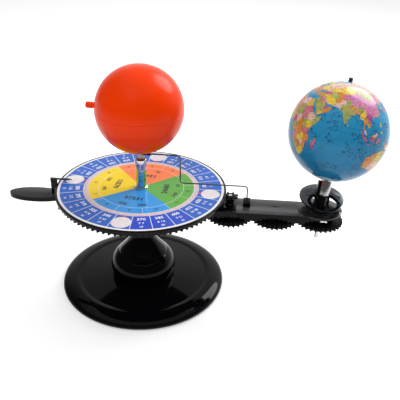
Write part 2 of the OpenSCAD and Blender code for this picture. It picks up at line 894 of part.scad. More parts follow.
module wire_run(x0, z0, x1, z1) {
  length = norm([x1 - x0, z1 - z0]);
  translate([x0, 0, z0])
    rotate([0, atan2(x1 - x0, z1 - z0), 0])
      cylinder(h = length, r = wire_r, $fn = 24);
}
// A quarter bend about (x, z) in the XZ plane, from angle a to a + 90
module wire_elbow(x, z, a) {
  translate([x, 0, z])
    rotate([90, 0, 0])
      rotate([0, 0, a])
        rotate_extrude(angle = 90)
          translate([wire_bend_r, 0]) circle(r = wire_r, $fn = 24);
}
module wire_crank() {
  color("#3a3a3e") {
    wire_run(neck_r + wire_start, wire_high_z, wire_drop_x - wire_bend_r, wire_high_z);
    wire_elbow(wire_drop_x - wire_bend_r, wire_high_z - wire_bend_r, 0);
    wire_run(wire_drop_x, wire_high_z - wire_bend_r, wire_drop_x, wire_low_z + wire_bend_r);
    wire_elbow(wire_drop_x + wire_bend_r, wire_low_z + wire_bend_r, 180);
    wire_run(wire_drop_x + wire_bend_r, wire_low_z, socket_x - wire_bend_r, wire_low_z);
    wire_elbow(socket_x - wire_bend_r, wire_low_z - wire_bend_r, 0);
    wire_run(socket_x, wire_low_z - wire_bend_r, socket_x, socket_top - socket_depth);
  }
}

module wire_sleeve() {
  color("#0e0e11")
    difference() {
      translate([0, 0, wire_high_z])
        rotate([0, 90, 0]) cylinder(h = neck_r + wire_sleeve_l, r = wire_sleeve_r, $fn = 32);
      cylinder(h = sun_z, r = neck_r);
      translate([neck_r + wire_start, 0, wire_high_z])
        rotate([0, 90, 0]) cylinder(h = far, r = wire_r, $fn = 32);
    }
}

// The Sun: neck, two shells and the peg on its back
neck_in_sun = 7;
module sun_neck() {
  color("#ece8de")
    translate([0, 0, neck_z + slip])
      cylinder(h = sun_z - sun_r + neck_in_sun - neck_z - slip, r = neck_r);
}

module sun_shell(upper) {
  difference() {
    sphere(r = sun_r);
    sphere(r = sun_r - sun_wall);
    translate([-far / 2, -far / 2, upper ? -far : 0]) cube([far, far, far]);
  }
}

module on_sun_back() {
  translate([0, 0, sun_z]) rotate([0, -90 + peg_rise, 0]) children();
}

module sun_lower_half() {
  color("#f2801a")
    difference() {
      translate([0, 0, sun_z]) sun_shell(false);
      translate([0, 0, sun_z - sun_r - cut]) cylinder(h = sun_r, r = neck_r);
      on_sun_back() cylinder(h = far, r = peg_r);
    }
}

module sun_upper_half() {
  color("#f2801a")
    difference() {
      translate([0, 0, sun_z]) sun_shell(true);
      on_sun_back() cylinder(h = far, r = peg_r);
    }
}

peg_root = 4;
module sun_peg() {
  color("#e8901f")
    on_sun_back()
      translate([0, 0, sun_r - peg_root]) cylinder(h = peg_l + peg_root, r = peg_r);
}

// Gear train. The middle gear has a gap towards each neighbour's tooth.
train_step = 360 / train_teeth;
module train_gear(x, bore_r, turn) {
  translate([x, 0, 0])
    difference() {
      union() {
        translate([0, 0, train_z])
          linear_extrude(train_w)
            gear_outline(train_teeth, train_root_r, train_tip_r, train_half_root, train_half_tip, turn);
        translate([0, 0, train_hub_z]) cylinder(h = train_hub_h + cut, r = train_hub_r);
      }
      translate([0, 0, train_hub_z - cut])
        cylinder(h = train_w + train_hub_h + 2 * cut, r = bore_r);
    }
}

module gear_1() {
  color("#17171b") train_gear(pinion_x, shaft_1_r, 0);
}

module gear_2() {
  color("#17171b") train_gear(gear_2_x, stud_r + fit, train_step / 2);
}

module gear_3() {
  color("#17171b") train_gear(gear_3_x, shaft_3_r, 0);
}

// The pinion has a gap towards the ring gear
pinion_gap = 0.2;
pinion_low = bearing_top + pinion_gap;
pinion_top = dial_z - gap;
module pinion() {
  color("#101013")
    translate([pinion_x, 0, 0])
      difference() {
        union() {
          translate([0, 0, pinion_low])
            cylinder(h = pinion_top - pinion_low, r = pinion_barrel_r);
          translate([0, 0, pinion_z])
            linear_extrude(pinion_w)
              gear_outline(pinion_teeth, pinion_root_r, pinion_tip_r, pinion_half_root, pinion_half_tip,
                180 + 180 / pinion_teeth);
        }
        translate([0, 0, pinion_low - cut])
          cylinder(h = pinion_top - pinion_low + 2 * cut, r = shaft_1_r);
      }
}

module shaft_1() {
  color("silver")
    translate([pinion_x, 0, train_hub_z])
      cylinder(h = pinion_top - train_hub_z, r = shaft_1_r);
}

shaft_3_top = crown_z - crown_dedendum - crown_in_r * cone_rise;
module shaft_3() {
  color("#d9dade")
    translate([gear_3_x, 0, arm_z - shaft_drop])
      cylinder(h = shaft_3_top - arm_z + shaft_drop, r = shaft_3_r);
}

// Crown wheels: a cone with straight radial teeth. The body ends at height top.
crown_step = 360 / crown_teeth;
module crown_body(bore_r, top) {
  rotate_extrude()
    polygon([
      [bore_r, cone_rise * bore_r + crown_dedendum],
      [crown_r, cone_rise * crown_r + crown_dedendum],
      [crown_r, top], [bore_r, top]
    ]);
}
// One tooth lies along the cone, with its flanks drawn in towards its crest
module crown_tooth() {
  rotate([0, -atan(cone_rise), 0])
    translate([crown_in_r, 0, 0])
      rotate([90, 0, 90])
        linear_extrude(crown_r - crown_in_r - crown_tooth_short)
          polygon([
            [-crown_bar_tip / 2, -crown_addendum], [crown_bar_tip / 2, -crown_addendum],
            [crown_bar_w / 2, crown_dedendum + crown_tooth_sink],
            [-crown_bar_w / 2, crown_dedendum + crown_tooth_sink]
          ]);
}
module crown_teeth_ring(turn) {
  for (i = [0 : crown_teeth - 1])
    rotate([0, 0, turn + i * crown_step]) crown_tooth();
}

module crown_lower() {
  color("#17171b")
    translate([gear_3_x, 0, crown_z])
      rotate([0, 0, earth_lean])
        mirror([0, 0, 1]) {
          crown_body(shaft_3_r, crown_rise - crown_gap);
          crown_teeth_ring(0);
        }
}

module crown_upper() {
  color("#0e0e11")
    tilted() {
      crown_body(axle_r, crown_hub_top);
      crown_teeth_ring(crown_step / 2);
    }
}

// Carrier on the arm's end
module carrier_hub() {
  color("#c8a255")
    translate([gear_3_x, 0, 0])
      difference() {
        union() {
          translate([0, 0, pulley_z]) cylinder(h = carrier_z - pulley_z, r = carrier_hub_r);
          translate([0, 0, pulley_z]) cylinder(h = carrier_top - pulley_z, r = carrier_lip_r);
        }
        translate([0, 0, pulley_z - cut])
          cylinder(h = carrier_top - pulley_z + 2 * cut, r = shaft_3_r + fit);
      }
}

module carrier_pulley() {
  color("#c9b37a") translate([gear_3_x, 0, 0]) pulley(carrier_hub_r);
}

module carrier_disc() {
  color("#1d1d21")
    translate([gear_3_x, 0, 0]) ring_at(carrier_z, carrier_h, carrier_r, carrier_lip_r);
}

// Posts of the stage, cut off at the slanting plate's underside
rear_post_in = 3;
rear_post_r = carrier_r - rear_post_in;
rear_post_az = [60, 130];
front_post_in = 1.2;
module stage_posts() {
  color("#141417")
    difference() {
      translate([gear_3_x, 0, carrier_top])
        union() {
          rotate([0, 0, stage_front_az])
            translate([carrier_r - stage_post_t - front_post_in, -stage_post_w / 2, 0])
              cube([stage_post_t, stage_post_w, 2 * stage_rise]);
          for (a = rear_post_az)
            rotate([0, 0, a])
              translate([rear_post_r, 0, 0])
                cylinder(h = 2 * stage_rise, r = stage_rear_r, $fn = 32);
        }
      on_stage() translate([-far / 2, -far / 2, 0]) cube([far, far, far]);
    }
}

stage_back_az = 100;
stage_socket_az = 150;
stage_socket_gap = 0.6;
module stage_plate() {
  color("#1d1d21")
    on_stage()
      difference() {
        translate([stage_back * cos(stage_back_az), stage_back * sin(stage_back_az), 0])
          cylinder(h = stage_h, r = stage_r);
        translate([0, 0, -cut]) cylinder(h = stage_h + 2 * cut, r = stage_hole_r);
        rotate([0, 0, stage_socket_az])
          translate([stage_hole_r + stage_ring_w + socket_bore_r + stage_socket_gap, 0, -cut])
            cylinder(h = stage_h + 2 * cut, r = socket_bore_r, $fn = 32);
      }
}

module stage_ring() {
  color("#141417")
    on_stage()
      difference() {
        union() {
          ring_at(stage_h, stage_ring_h, stage_hole_r + stage_ring_w, stage_hole_r);
          ring_at(0, stage_h, stage_hole_r + stage_ring_w, stage_hole_r);
        }
        translate([stage_back * cos(stage_back_az), stage_back * sin(stage_back_az), -cut])
          cylinder(h = stage_h + cut, r = stage_r);
      }
}

// Bracket: a strip beside the sleeve, standing on the carrier disc
bracket_az = 113;
bracket_w = 7;
bracket_t = 2.2;
bracket_lap = 0.6;
bracket_root = 6;
bracket_short = 0.8;
module axis_bracket() {
  color("#121215")
    difference() {
      tilted()
        rotate([0, 0, bracket_az])
          translate([sleeve_r - bracket_lap, -bracket_w / 2, -crown_rise - bracket_root])
            cube([
              bracket_t + bracket_lap, bracket_w,
              sleeve_top - bracket_short + crown_rise + bracket_root
            ]);
      tilted() translate([0, 0, sleeve_from]) cylinder(h = far, r = sleeve_r);
      tilted() translate([0, 0, -far + sleeve_from]) cylinder(h = far, r = sleeve_r + slip);
      translate([-far, -far, carrier_top - far]) cube([2 * far, 2 * far, far]);
    }
}

module axis_sleeve() {
  color("#d9dade") tilted() ring_at(sleeve_from, sleeve_top - sleeve_from, sleeve_r, axle_r + fit);
}

// The globe: two shells on an axle, with a pin at the north pole
axle_short = 0.2;
axle_root = 6;
pin_depth = 6;
axle_top = globe_reach + globe_r - globe_wall - axle_short;
module globe_axle() {
  color("#d9dade")
    tilted()
      difference() {
        translate([0, 0, crown_hub_top - axle_root])
          cylinder(h = axle_top - crown_hub_top + axle_root, r = axle_r);
        translate([0, 0, axle_top - pin_depth]) cylinder(h = pin_depth + cut, r = top_pin_r);
      }
}

module globe_shell(upper) {
  translate([0, 0, globe_reach])
    difference() {
      sphere(r = globe_r);
      sphere(r = globe_r - globe_wall);
      translate([-far / 2, -far / 2, upper ? -far : 0]) cube([far, far, far]);
    }
}

module globe_south() {
  color("#2f7fb0")
    tilted()
      difference() {
        globe_shell(false);
        translate([0, 0, globe_reach - globe_r - cut]) cylinder(h = globe_r / 2, r = axle_r);
      }
}

module globe_north() {
  color("#3a8cbd")
    tilted()
      difference() {
        globe_shell(true);
        translate([0, 0, globe_reach + globe_r / 2]) cylinder(h = globe_r, r = top_pin_r);
      }
}

module top_pin() {
  color("#3c3c40")
    tilted() {
      translate([0, 0, axle_top - pin_depth])
        cylinder(h = globe_reach + globe_r + top_pin_h - axle_top + pin_depth, r = top_pin_r);
      translate([0, 0, globe_reach + globe_r + fit])
        cylinder(h = top_pin_h - fit, r = top_cap_r);
    }
}

base_disc();
base_pad();
column();
tie_washer();
tie_nut();
spindle();
thrust_washer();
fixed_pulley();
arm_retainer();
ring_gear();
gear_grub_screw();
dial_plate();
dial_print();
dial_flange();
sun_post();
post_collar();
arm_beam();
arm_cover();
cover_screws();
hub_bushes();
shaft_bushes();
bearing_saddle();
bearing_dish();
bearing_collar();
idler_stud();
idler_clip();
belt();
handle();
handle_screws();
pointer_post();
pointer();
end_clip();
wire_socket();
wire_crank();
wire_sleeve();
sun_neck();
sun_lower_half();
sun_upper_half();
sun_peg();
pinion();
shaft_1();
gear_1();
gear_2();
gear_3();
shaft_3();
crown_lower();
carrier_hub();
carrier_pulley();
carrier_disc();
stage_posts();
stage_plate();
stage_ring();
axis_bracket();
axis_sleeve();
crown_upper();
globe_axle();
globe_south();
globe_north();
top_pin();
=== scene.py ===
# %% [markdown]
# # A geared model of the Sun and the Earth
# A glossy black stand carries a round printed dial. Under the dial turns an arm, which carries a
# small tilted globe round an orange ball, the Sun, and spins it through a train of gears. The
# measured solids come in first as a fixed frame. Everything made here sits on them, in metres, in
# the same place.

# %% Load the frame
import json
from itertools import combinations
from math import asin, cos, degrees, pi, radians, sin, sqrt

import bmesh
import bpy
from mathutils import Matrix, Vector, kdtree


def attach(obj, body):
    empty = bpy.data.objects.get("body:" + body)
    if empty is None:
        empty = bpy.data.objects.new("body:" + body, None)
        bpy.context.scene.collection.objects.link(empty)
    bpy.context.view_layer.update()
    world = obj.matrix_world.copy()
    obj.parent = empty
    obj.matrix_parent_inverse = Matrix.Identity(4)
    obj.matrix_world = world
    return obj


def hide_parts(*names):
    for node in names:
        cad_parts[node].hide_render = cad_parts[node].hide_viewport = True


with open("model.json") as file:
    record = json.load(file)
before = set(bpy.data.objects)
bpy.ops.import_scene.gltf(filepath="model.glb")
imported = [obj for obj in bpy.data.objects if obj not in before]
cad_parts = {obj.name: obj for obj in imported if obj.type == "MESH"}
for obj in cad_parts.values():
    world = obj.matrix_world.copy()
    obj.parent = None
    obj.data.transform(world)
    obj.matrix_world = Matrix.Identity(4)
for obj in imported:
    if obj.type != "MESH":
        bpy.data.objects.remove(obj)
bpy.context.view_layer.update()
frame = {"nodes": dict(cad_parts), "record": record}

MM = 0.001

# %% [markdown]
# ## The picture
# The camera was solved from the round dial, the base's rim, the gears and both balls, so it
# stands where the photographer stood. A camera looks along its own -Z, so the three directions of
# the view go into one matrix. The lens is given for the 36 mm wide frame.

# %% Camera
VIEW_FROM = Vector((97.6, -567.8, 431.4)) * MM
VIEW_RIGHT = Vector((0.99705, 0.07271, 0.02465))
VIEW_UP = Vector((-0.05714, 0.48834, 0.87078))
VIEW_AHEAD = Vector((-0.0513, 0.8696, -0.4911))
camera = bpy.data.objects.new("camera", bpy.data.cameras.new("camera"))
camera.data.lens = 53.79
camera.data.sensor_width = 36
camera.data.clip_start = 0.01
turn = Matrix((VIEW_RIGHT, VIEW_UP, -VIEW_AHEAD)).transposed()
camera.matrix_world = Matrix.Translation(VIEW_FROM) @ turn.to_4x4()
bpy.context.scene.collection.objects.link(camera)
bpy.context.scene.camera = camera
print("the camera is", round(VIEW_FROM.length, 3), "m from the stand's foot")

# %% [markdown]
# ## Shader sums that read like sums
# A finish is a small circuit of nodes. Wrapping one output socket in a class lets Python's own
# signs add the Math nodes, so a ring between two radii can be written as a product of two
# comparisons. Every other node comes from one method.

# %% The class for sockets and the class for finishes
class Wire:
    """One output of a finish's node circuit. Each of Python's signs adds a Math node to it."""

    def __init__(self, finish, socket):
        self.finish, self.socket = finish, socket

    def math(self, operation, *others):
        return self.finish.math(operation, self, *others)

    def __rsub__(self, other):
        return self.finish.math("SUBTRACT", other, self)


for sign, operation in {"add": "ADD", "radd": "ADD", "sub": "SUBTRACT", "mul": "MULTIPLY",
                        "rmul": "MULTIPLY", "truediv": "DIVIDE", "gt": "GREATER_THAN",
                        "lt": "LESS_THAN", "mod": "FLOORED_MODULO"}.items():
    setattr(Wire, f"__{sign}__",
            lambda wire, other, operation=operation: wire.math(operation, other))


class Finish:
    """A material in the making: one circuit of nodes that ends in its surface."""

    def __init__(self, name):
        self.material = bpy.data.materials.new(name)
        self.material.use_nodes = True
        self.tree = self.material.node_tree
        self.tree.nodes.clear()
        self.place = self.node("ShaderNodeTexCoord", out="Object")

    def node(self, kind, settings=None, sockets=None, out=0):
        made = self.tree.nodes.new(kind)
        for key, value in (settings or {}).items():
            setattr(made, key, value)
        for key, value in (sockets or {}).items():
            if isinstance(value, Wire):
                self.tree.links.new(value.socket, made.inputs[key])
            else:
                made.inputs[key].default_value = value
        return Wire(self, made.outputs[out])

    def math(self, operation, *terms):
        return self.node("ShaderNodeMath", {"operation": operation}, dict(enumerate(terms)))

    def ramp(self, value, start, end, low, high, way="LINEAR"):
        """Takes a value's range from start to end over to the range from low to high."""
        return self.node("ShaderNodeMapRange", {"interpolation_type": way},
                         dict(enumerate((value, start, end, low, high))))

    def split(self, vector):
        parts = self.node("ShaderNodeSeparateXYZ", {}, {0: vector})
        outputs = parts.socket.node.outputs
        return [Wire(self, outputs[i]) for i in range(3)]

    def grain(self, scale, detail=3, where=None):
        sockets = {"Vector": where or self.place, "Scale": scale, "Detail": detail}
        return self.node("ShaderNodeTexNoise", {}, sockets, "Fac")

    def blend(self, share, under, over, way="MIX"):
        settings = {"data_type": "RGBA", "blend_type": way}
        colour = [(*c, 1) if isinstance(c, tuple) else c for c in (under, over)]
        return self.node("ShaderNodeMix", settings, {0: share, 6: colour[0], 7: colour[1]}, 2)

    def bump(self, height, depth, strength=1.0):
        sockets = {"Height": height, "Distance": depth, "Strength": strength}
        return self.node("ShaderNodeBump", {}, sockets)

    def surface(self, colour, rough, **more):
        """Ends the circuit. Further sockets are given by name, with _ for a space."""
        base = (*colour, 1) if isinstance(colour, tuple) else colour
        sockets = {"Base Color": base, "Roughness": rough}
        sockets.update({k.replace("_", " "): v for k, v in more.items()})
        shader = self.node("ShaderNodeBsdfPrincipled", {}, sockets)
        output = self.tree.nodes.new("ShaderNodeOutputMaterial")
        self.tree.links.new(shader.socket, output.inputs["Surface"])
        return self.material


# %% [markdown]
# ## Black enamel, black moulding and the metals
# The stand is dipped in thick black enamel: nearly no colour of its own, a mirror-like coat, and
# the faint waviness of a brushed or dipped film. The arm, gears and dial are moulded black
# plastic: a little softer, with dust and hairline scratches. Dust lies on what faces up, so it is
# added where the surface normal points to the sky. The metals differ in colour and in how
# drawn-out their marks are: turned steel has rings, chrome has almost none.

# %% Black finishes
DUST = (0.30, 0.29, 0.27)


def times(colour, share):
    return tuple(c * share for c in colour)


def black(name, colour, rough, dust_share, wave_scale, wave_depth, shine, sheen=0.0):
    """The last argument greys what faces up: a painted sheen, for the pale surround that the tops
    reflect.
    """
    f = Finish(name)
    clouds = f.grain(22, 4)
    fine = f.grain(900, 2)
    specks = f.grain(1700, 1) > 0.68
    normal = f.node("ShaderNodeNewGeometry", out="Normal")
    up = f.split(normal)[2]
    dust = (up > 0.4) * specks * dust_share
    shade = f.blend(clouds, colour, times(colour, 1.7))
    # Painted sheen: up-facing faces are blended to grey, standing for the reflection of the pale
    # surround.
    settled = (up > 0.75) * (clouds * 0.5 + 0.75) * (1.0 if sheen else 0.0)
    shade = f.blend(settled, shade, (sheen, sheen, sheen * 1.06))
    shade = f.blend(dust, shade, DUST)
    scratch = f.node("ShaderNodeTexWave", {"wave_type": "BANDS"},
                     {"Vector": f.place, "Scale": 90.0, "Distortion": 26.0, "Detail": 4.0}) > 0.985
    roughness = clouds * 0.05 + rough + dust * 0.5 + scratch * 0.06 + fine * 0.02
    wave = f.grain(wave_scale, 2)
    return f.surface(shade, roughness, Normal=f.bump(wave, wave_depth), Specular_IOR_Level=shine)


SOFT_BLACK = (0.0020, 0.0020, 0.0026)
enamel = black("black_enamel", (0.0010, 0.0010, 0.0016), 0.03, 0.05, 30.0, 0.00006, 0.12)
gear_black = black("gear_black", (0.0024, 0.0024, 0.0030), 0.22, 0.05, 200.0, 0.00005, 0.08)
# The arm, stage, disc and grip mouldings end with a painted sheen: the grey of their tops, for the
# surround they reflect.
arm_black = black("arm_moulding", (0.0015, 0.0015, 0.0020), 0.12, 0.08, 60.0, 0.00004, 0.12, 0.075)
moulding = black("black_moulding", SOFT_BLACK, 0.10, 0.08, 60.0, 0.00004, 0.14)
stage_black = black("stage_moulding", SOFT_BLACK, 0.15, 0.08, 60.0, 0.00004, 0.3, 0.10)
disc_black = black("disc_moulding", SOFT_BLACK, 0.08, 0.05, 60.0, 0.00004, 0.5, 0.012)
grip_black = black("grip_moulding", SOFT_BLACK, 0.20, 0.08, 60.0, 0.00004, 0.14, 0.028)
print("black finishes:", enamel.name, moulding.name, gear_black.name, "and four with a film")

# %% Metals and small finishes
def metal(name, colour, rough, ring_scale, ring_depth):
    f = Finish(name)
    across = f.grain(60)
    rings = (f.split(f.place)[2] * ring_scale).math("SINE")
    tint = f.blend(across, times(colour, 0.88), colour)
    return f.surface(tint, across * 0.08 + rough, Metallic=1.0,
                     Normal=f.bump(rings, ring_depth, 0.5))


chrome = metal("chrome_plate", (0.66, 0.66, 0.69), 0.04, 9000.0, 0.000002)
drawn_tube = metal("drawn_tube", (0.50, 0.49, 0.49), 0.16, 4200.0, 0.00003)
steel = metal("turned_steel", (0.62, 0.62, 0.64), 0.22, 14000.0, 0.00002)
brass = metal("turned_brass", (0.72, 0.53, 0.25), 0.20, 14000.0, 0.00002)
dark_wire = metal("drawn_dark_wire", (0.13, 0.13, 0.14), 0.26, 4000.0, 0.00001)


def plain(name, colour, second, rough, scale, depth, **more):
    f = Finish(name)
    grain = f.grain(scale, 4)
    return f.surface(f.blend(grain, colour, second), grain * 0.1 + rough,
                     Normal=f.bump(grain, depth), **more)


felt = plain("black_felt", (0.012, 0.012, 0.013), (0.05, 0.05, 0.05), 0.9, 2600.0, 0.0003)
rubber = plain("belt_rubber", (0.02, 0.02, 0.02), (0.035, 0.033, 0.03), 0.7, 900.0, 0.00005)
red_gloss = plain("dark_red_gloss", (0.20, 0.008, 0.008), (0.28, 0.015, 0.012), 0.16, 300.0,
                  0.00002)
white_gloss = plain("white_moulding", (0.84, 0.83, 0.80), (0.74, 0.73, 0.69), 0.28, 300.0, 0.00002)
print("metals and small finishes are ready")

# %% [markdown]
# ## Making and keeping a piece
# A turned piece starts as half its outline, a chain of edges, and is spun once round the axis. A
# moulded piece with flat faces starts from its measured solid: the copy is merged, its flat faces
# are joined again, and its edges are eased by a small bevel, because no moulded edge is knife
# sharp and it is the eased edge that catches the light.

# %% Helpers that make pieces
EASED_FROM = 30  # an edge that turns by more degrees than this is eased


def keep(name, bm, body, slot, finish, nodes=(), sharp=35):
    """Makes the bmesh an object that rides on a body and stands for its solids."""
    mesh = bpy.data.meshes.new(name)
    bm.to_mesh(mesh)
    bm.free()
    piece = bpy.data.objects.new(name, mesh)
    bpy.context.scene.collection.objects.link(piece)
    mesh.materials.append(finish)
    mesh.shade_smooth()
    mesh.set_sharp_from_angle(angle=radians(sharp))
    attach(piece, body)
    if nodes:
        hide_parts(*nodes)
    print(f"{name}: {len(mesh.polygons)} faces, on {body}")


def turned(outline, steps=128, closed=False):
    """Spins an outline of (radius, height) in millimetres once round Z."""
    bm = bmesh.new()
    chain = [bm.verts.new((r * MM, 0, z * MM)) for r, z in outline]
    links = list(zip(chain, chain[1:])) + ([(chain[-1], chain[0])] if closed else [])
    for a, b in links:
        bm.edges.new((a, b))
    bmesh.ops.spin(bm, geom=bm.verts[:] + bm.edges[:], axis=(0, 0, 1), cent=(0, 0, 0),
                   angle=2 * pi, steps=steps, use_merge=True)
    bmesh.ops.remove_doubles(bm, verts=bm.verts[:], dist=1e-7)
    bmesh.ops.recalc_face_normals(bm, faces=bm.faces[:])
    return bm


def eased_solid(node, width, segments):
    """A merged copy of a measured solid, with its edges eased by a width in millimetres."""
    bm = bmesh.new()
    bm.from_mesh(frame["nodes"][node].data)
    bmesh.ops.remove_doubles(bm, verts=bm.verts[:], dist=2e-6)
    bmesh.ops.dissolve_limit(bm, angle_limit=radians(0.6), verts=bm.verts[:], edges=bm.edges[:])
    edges = [e for e in bm.edges if len(e.link_faces) == 2
             and e.calc_face_angle(0) > radians(EASED_FROM)]
    bmesh.ops.bevel(bm, geom=edges, offset=width * MM, offset_type="OFFSET", segments=segments,
                    profile=0.5, affect="EDGES", clamp_overlap=True, material=-1)
    return bm


def mesh_of(curve):
    """The mesh of a curve or of a text."""
    holder = bpy.data.objects.new(curve.name, curve)
    bpy.context.scene.collection.objects.link(holder)
    mesh = bpy.data.meshes.new_from_object(
        holder.evaluated_get(bpy.context.evaluated_depsgraph_get()))
    bpy.data.objects.remove(holder)
    return mesh


def drawn(name, lines, radius, roundness, capped):
    """A round section drawn along lines of places, all in millimetres."""
    curve = bpy.data.curves.new(name, "CURVE")
    curve.dimensions, curve.bevel_depth, curve.bevel_resolution = "3D", radius * MM, roundness
    curve.use_fill_caps = capped
    for line in lines:
        spline = curve.splines.new("POLY")
        spline.points.add(len(line) - 1)
        for point, place in zip(spline.points, line):
            point.co = (*(c * MM for c in place), 1)
    bm = bmesh.new()
    bm.from_mesh(mesh_of(curve))
    return bm


def arc(r, z, wide, high, start, end, steps):
    """Points of an oval about (r, z), from a start angle to an end angle in degrees."""
    angles = [radians(start + (end - start) * i / steps) for i in range(steps + 1)]
    return [(r + wide * cos(a), z + high * sin(a)) for a in angles]


def round_corner(r, z, radius, start, end, steps=6):
    return arc(r, z, radius, radius, start, end, steps)


def top_corner(r, z, radius, steps=6):
    """Rounds an outline's outer upper corner, which would stand at (r, z)."""
    return round_corner(r - radius, z - radius, radius, 0, 90, steps)


def half_ball(radius, wall, seam, hole, way, height=0.0):
    """Half a hollow ball above or below a height, with a hole at its pole and a fine seam."""
    inner = radius - wall
    outline = arc(0, height, radius, way * radius, 90 - degrees(asin(hole / radius)), 0, 64)[:-1]
    outline += [(radius, height + way * seam), (radius - seam, height), (inner, height)]
    outline += arc(0, height, inner, way * inner, 0, 90, 24)[1:-1] + [(hole, height + way * inner)]
    return turned(outline, 160, closed=hole > 0)


# %% [markdown]
# ## The stand
# The base's top falls gently from the column's foot to a shallow crease. Beyond it the rim rolls
# over in a wide oval, and a small one turns it in underneath. The column swells into an oval bulb,
# and on the bulb stands a flare that runs up to a thin neck. Both are lathe work, so each is an
# outline spun round, with enough points that a mirror-like coat shows no facets.

# %% Base disc
BASE_R, BASE_FLAT_R, BASE_Z, BASE_TOP, EDGE_Z, UNDER_R = 93.0, 72.0, 0.6, 11.5, 3.1, 3.0
RECESS_R, RECESS_H, PAD_IN_R, PAD_R, PAD_DEPTH = 13.0, 6.0, 71.9, 86.1, 0.6
CROWN, CROWN_R, CREASE, CREASE_R, BORE_R = 2.1, 34.4, 0.75, 72.4, 4.1
rim = arc(BASE_FLAT_R, BASE_Z + EDGE_Z, BASE_R - BASE_FLAT_R, BASE_TOP - BASE_Z - EDGE_Z, 0, 75, 25)
roll_r, roll_z = rim[-1]
inner_flank = [(roll_r - (roll_r - CREASE_R) * i / 8,
                roll_z - (roll_z - BASE_TOP + CREASE) * (i / 8) ** 2) for i in range(1, 9)]
slope = [(CREASE_R + (CROWN_R - CREASE_R) * share, BASE_TOP - CREASE + (CROWN + CREASE) * share)
         for share in [0.01] + [i / 16 for i in range(1, 16)] + [0.99, 1.0]]
under = arc(BASE_R - UNDER_R, BASE_Z + EDGE_Z, UNDER_R, EDGE_Z, -90, -9, 9)
below = [(BORE_R, BASE_Z + RECESS_H), (RECESS_R, BASE_Z + RECESS_H), (RECESS_R, BASE_Z),
         (PAD_IN_R, BASE_Z), (PAD_IN_R, BASE_Z + PAD_DEPTH), (PAD_R, BASE_Z + PAD_DEPTH),
         (PAD_R, BASE_Z)]
base = turned(below + under + rim + inner_flank + slope
              + [(CROWN_R, BASE_TOP), (BORE_R, BASE_TOP)], 192, closed=True)
keep("base", base, "root", "black_enamel", enamel, ["base_disc"])

# %% Column
BULB_R, BULB_RISE, BULB_Z, NECK_R, NECK_Z, COLUMN_H = 37.0, 27.5, 12.8, 12.0, 61.0, 84.2
FLARE_R, FLARE_Z, FLARE_DRAW = 27.3, 31.2, 0.62
COLUMN_WALL, COLUMN_CAP, LIP, OUTLINE_STEPS = 5.0, 8.0, 0.8, 40


def bulb_radius(z):
    return BULB_R * sqrt(1 - ((z - BULB_Z) / BULB_RISE) ** 2)


def flare_radius(share):
    return NECK_R + (FLARE_R - NECK_R) * (1 + cos(pi * share ** FLARE_DRAW)) / 2


shares = [i / OUTLINE_STEPS for i in range(OUTLINE_STEPS + 1)]
column_side = [(bulb_radius(FLARE_Z * t), BASE_TOP + FLARE_Z * t) for t in shares[:-1]]
column_side += [(flare_radius(t), BASE_TOP + FLARE_Z + (NECK_Z - FLARE_Z) * t) for t in shares]
top, cap = BASE_TOP + COLUMN_H, BASE_TOP + COLUMN_H - COLUMN_CAP
inside = [(BORE_R, top), (BORE_R, cap), (NECK_R - COLUMN_WALL, cap)]
inside += [(r - COLUMN_WALL, z) for r, z in reversed(column_side)]
column = turned(column_side + top_corner(NECK_R, top, LIP) + inside, 160, closed=True)
keep("column", column, "root", "black_enamel", enamel, ["column"])

# %% [markdown]
# ## The dial
# A moulded disc with a raised rim holds a printed sheet: a blue ring of 24 fields round an inner
# disc of four colours. The fields could be cut as geometry, but a print has no thickness, so it is
# worked out by the finish from the distance and the angle about the axis. What is raised or read
# closely, the numbers, the four white discs and the red marks, is laid on as thin geometry.

# %% Dial plate
DIAL_R, DIAL_Z, DIAL_TOP, DIAL_RIM, PRINT_TOP = 92.3, 119.6, 123.3, 2.4, 123.2
LOW_CORNER, HIGH_CORNER, INNER_CORNER, INNER_DROP = 0.6, 0.9, 0.4, 0.3
SHEET_BED = PRINT_TOP - 0.5
plate = turned([(BORE_R, DIAL_Z), (DIAL_R - LOW_CORNER, DIAL_Z)]
               + round_corner(DIAL_R - LOW_CORNER, DIAL_Z + LOW_CORNER, LOW_CORNER, -90, 0)
               + top_corner(DIAL_R, DIAL_TOP, HIGH_CORNER)
               + round_corner(DIAL_R - DIAL_RIM + INNER_CORNER, DIAL_TOP - INNER_DROP,
                              INNER_CORNER, 90, 180, 4)
               + [(DIAL_R - DIAL_RIM, SHEET_BED), (BORE_R, SHEET_BED)], 192, closed=True)
keep("dial_plate", plate, "root", "black_plastic", moulding, ["dial_plate"])

# %% The printed finish
# Turn of the four boundaries between the inner fields, in degrees from +X towards +Y
INNER_EDGES = {"yellow_blue": 216.0, "blue_green": 311.0, "green_orange": 41.0,
               "orange_yellow": 126.5}
RING_OUT, RING_IN, BAND_IN, ARC_R = 87.2, 62.6, 57.0, 46.0
TICK_OUT, TICK_IN, LONG_TICK_IN = 61.6, 59.9, 58.0
FIELDS, FIRST_LINE, FIRST_SPOKE, SHADE_FROM, SHADE_TO = 24, 1.3, 10.0, 271.3, 316.3
BLUE, SHADED_BLUE = (0.022, 0.125, 0.54), (0.020, 0.058, 0.52)
ORANGE, GREEN = (0.93, 0.22, 0.065), (0.105, 0.38, 0.055)
LIGHT_BLUE, YELLOW = (0.030, 0.30, 0.74), (0.80, 0.60, 0.003)
PAPER, BAND, TICK_INK = (0.78, 0.78, 0.80), (0.62, 0.53, 0.55), (0.10, 0.06, 0.10)


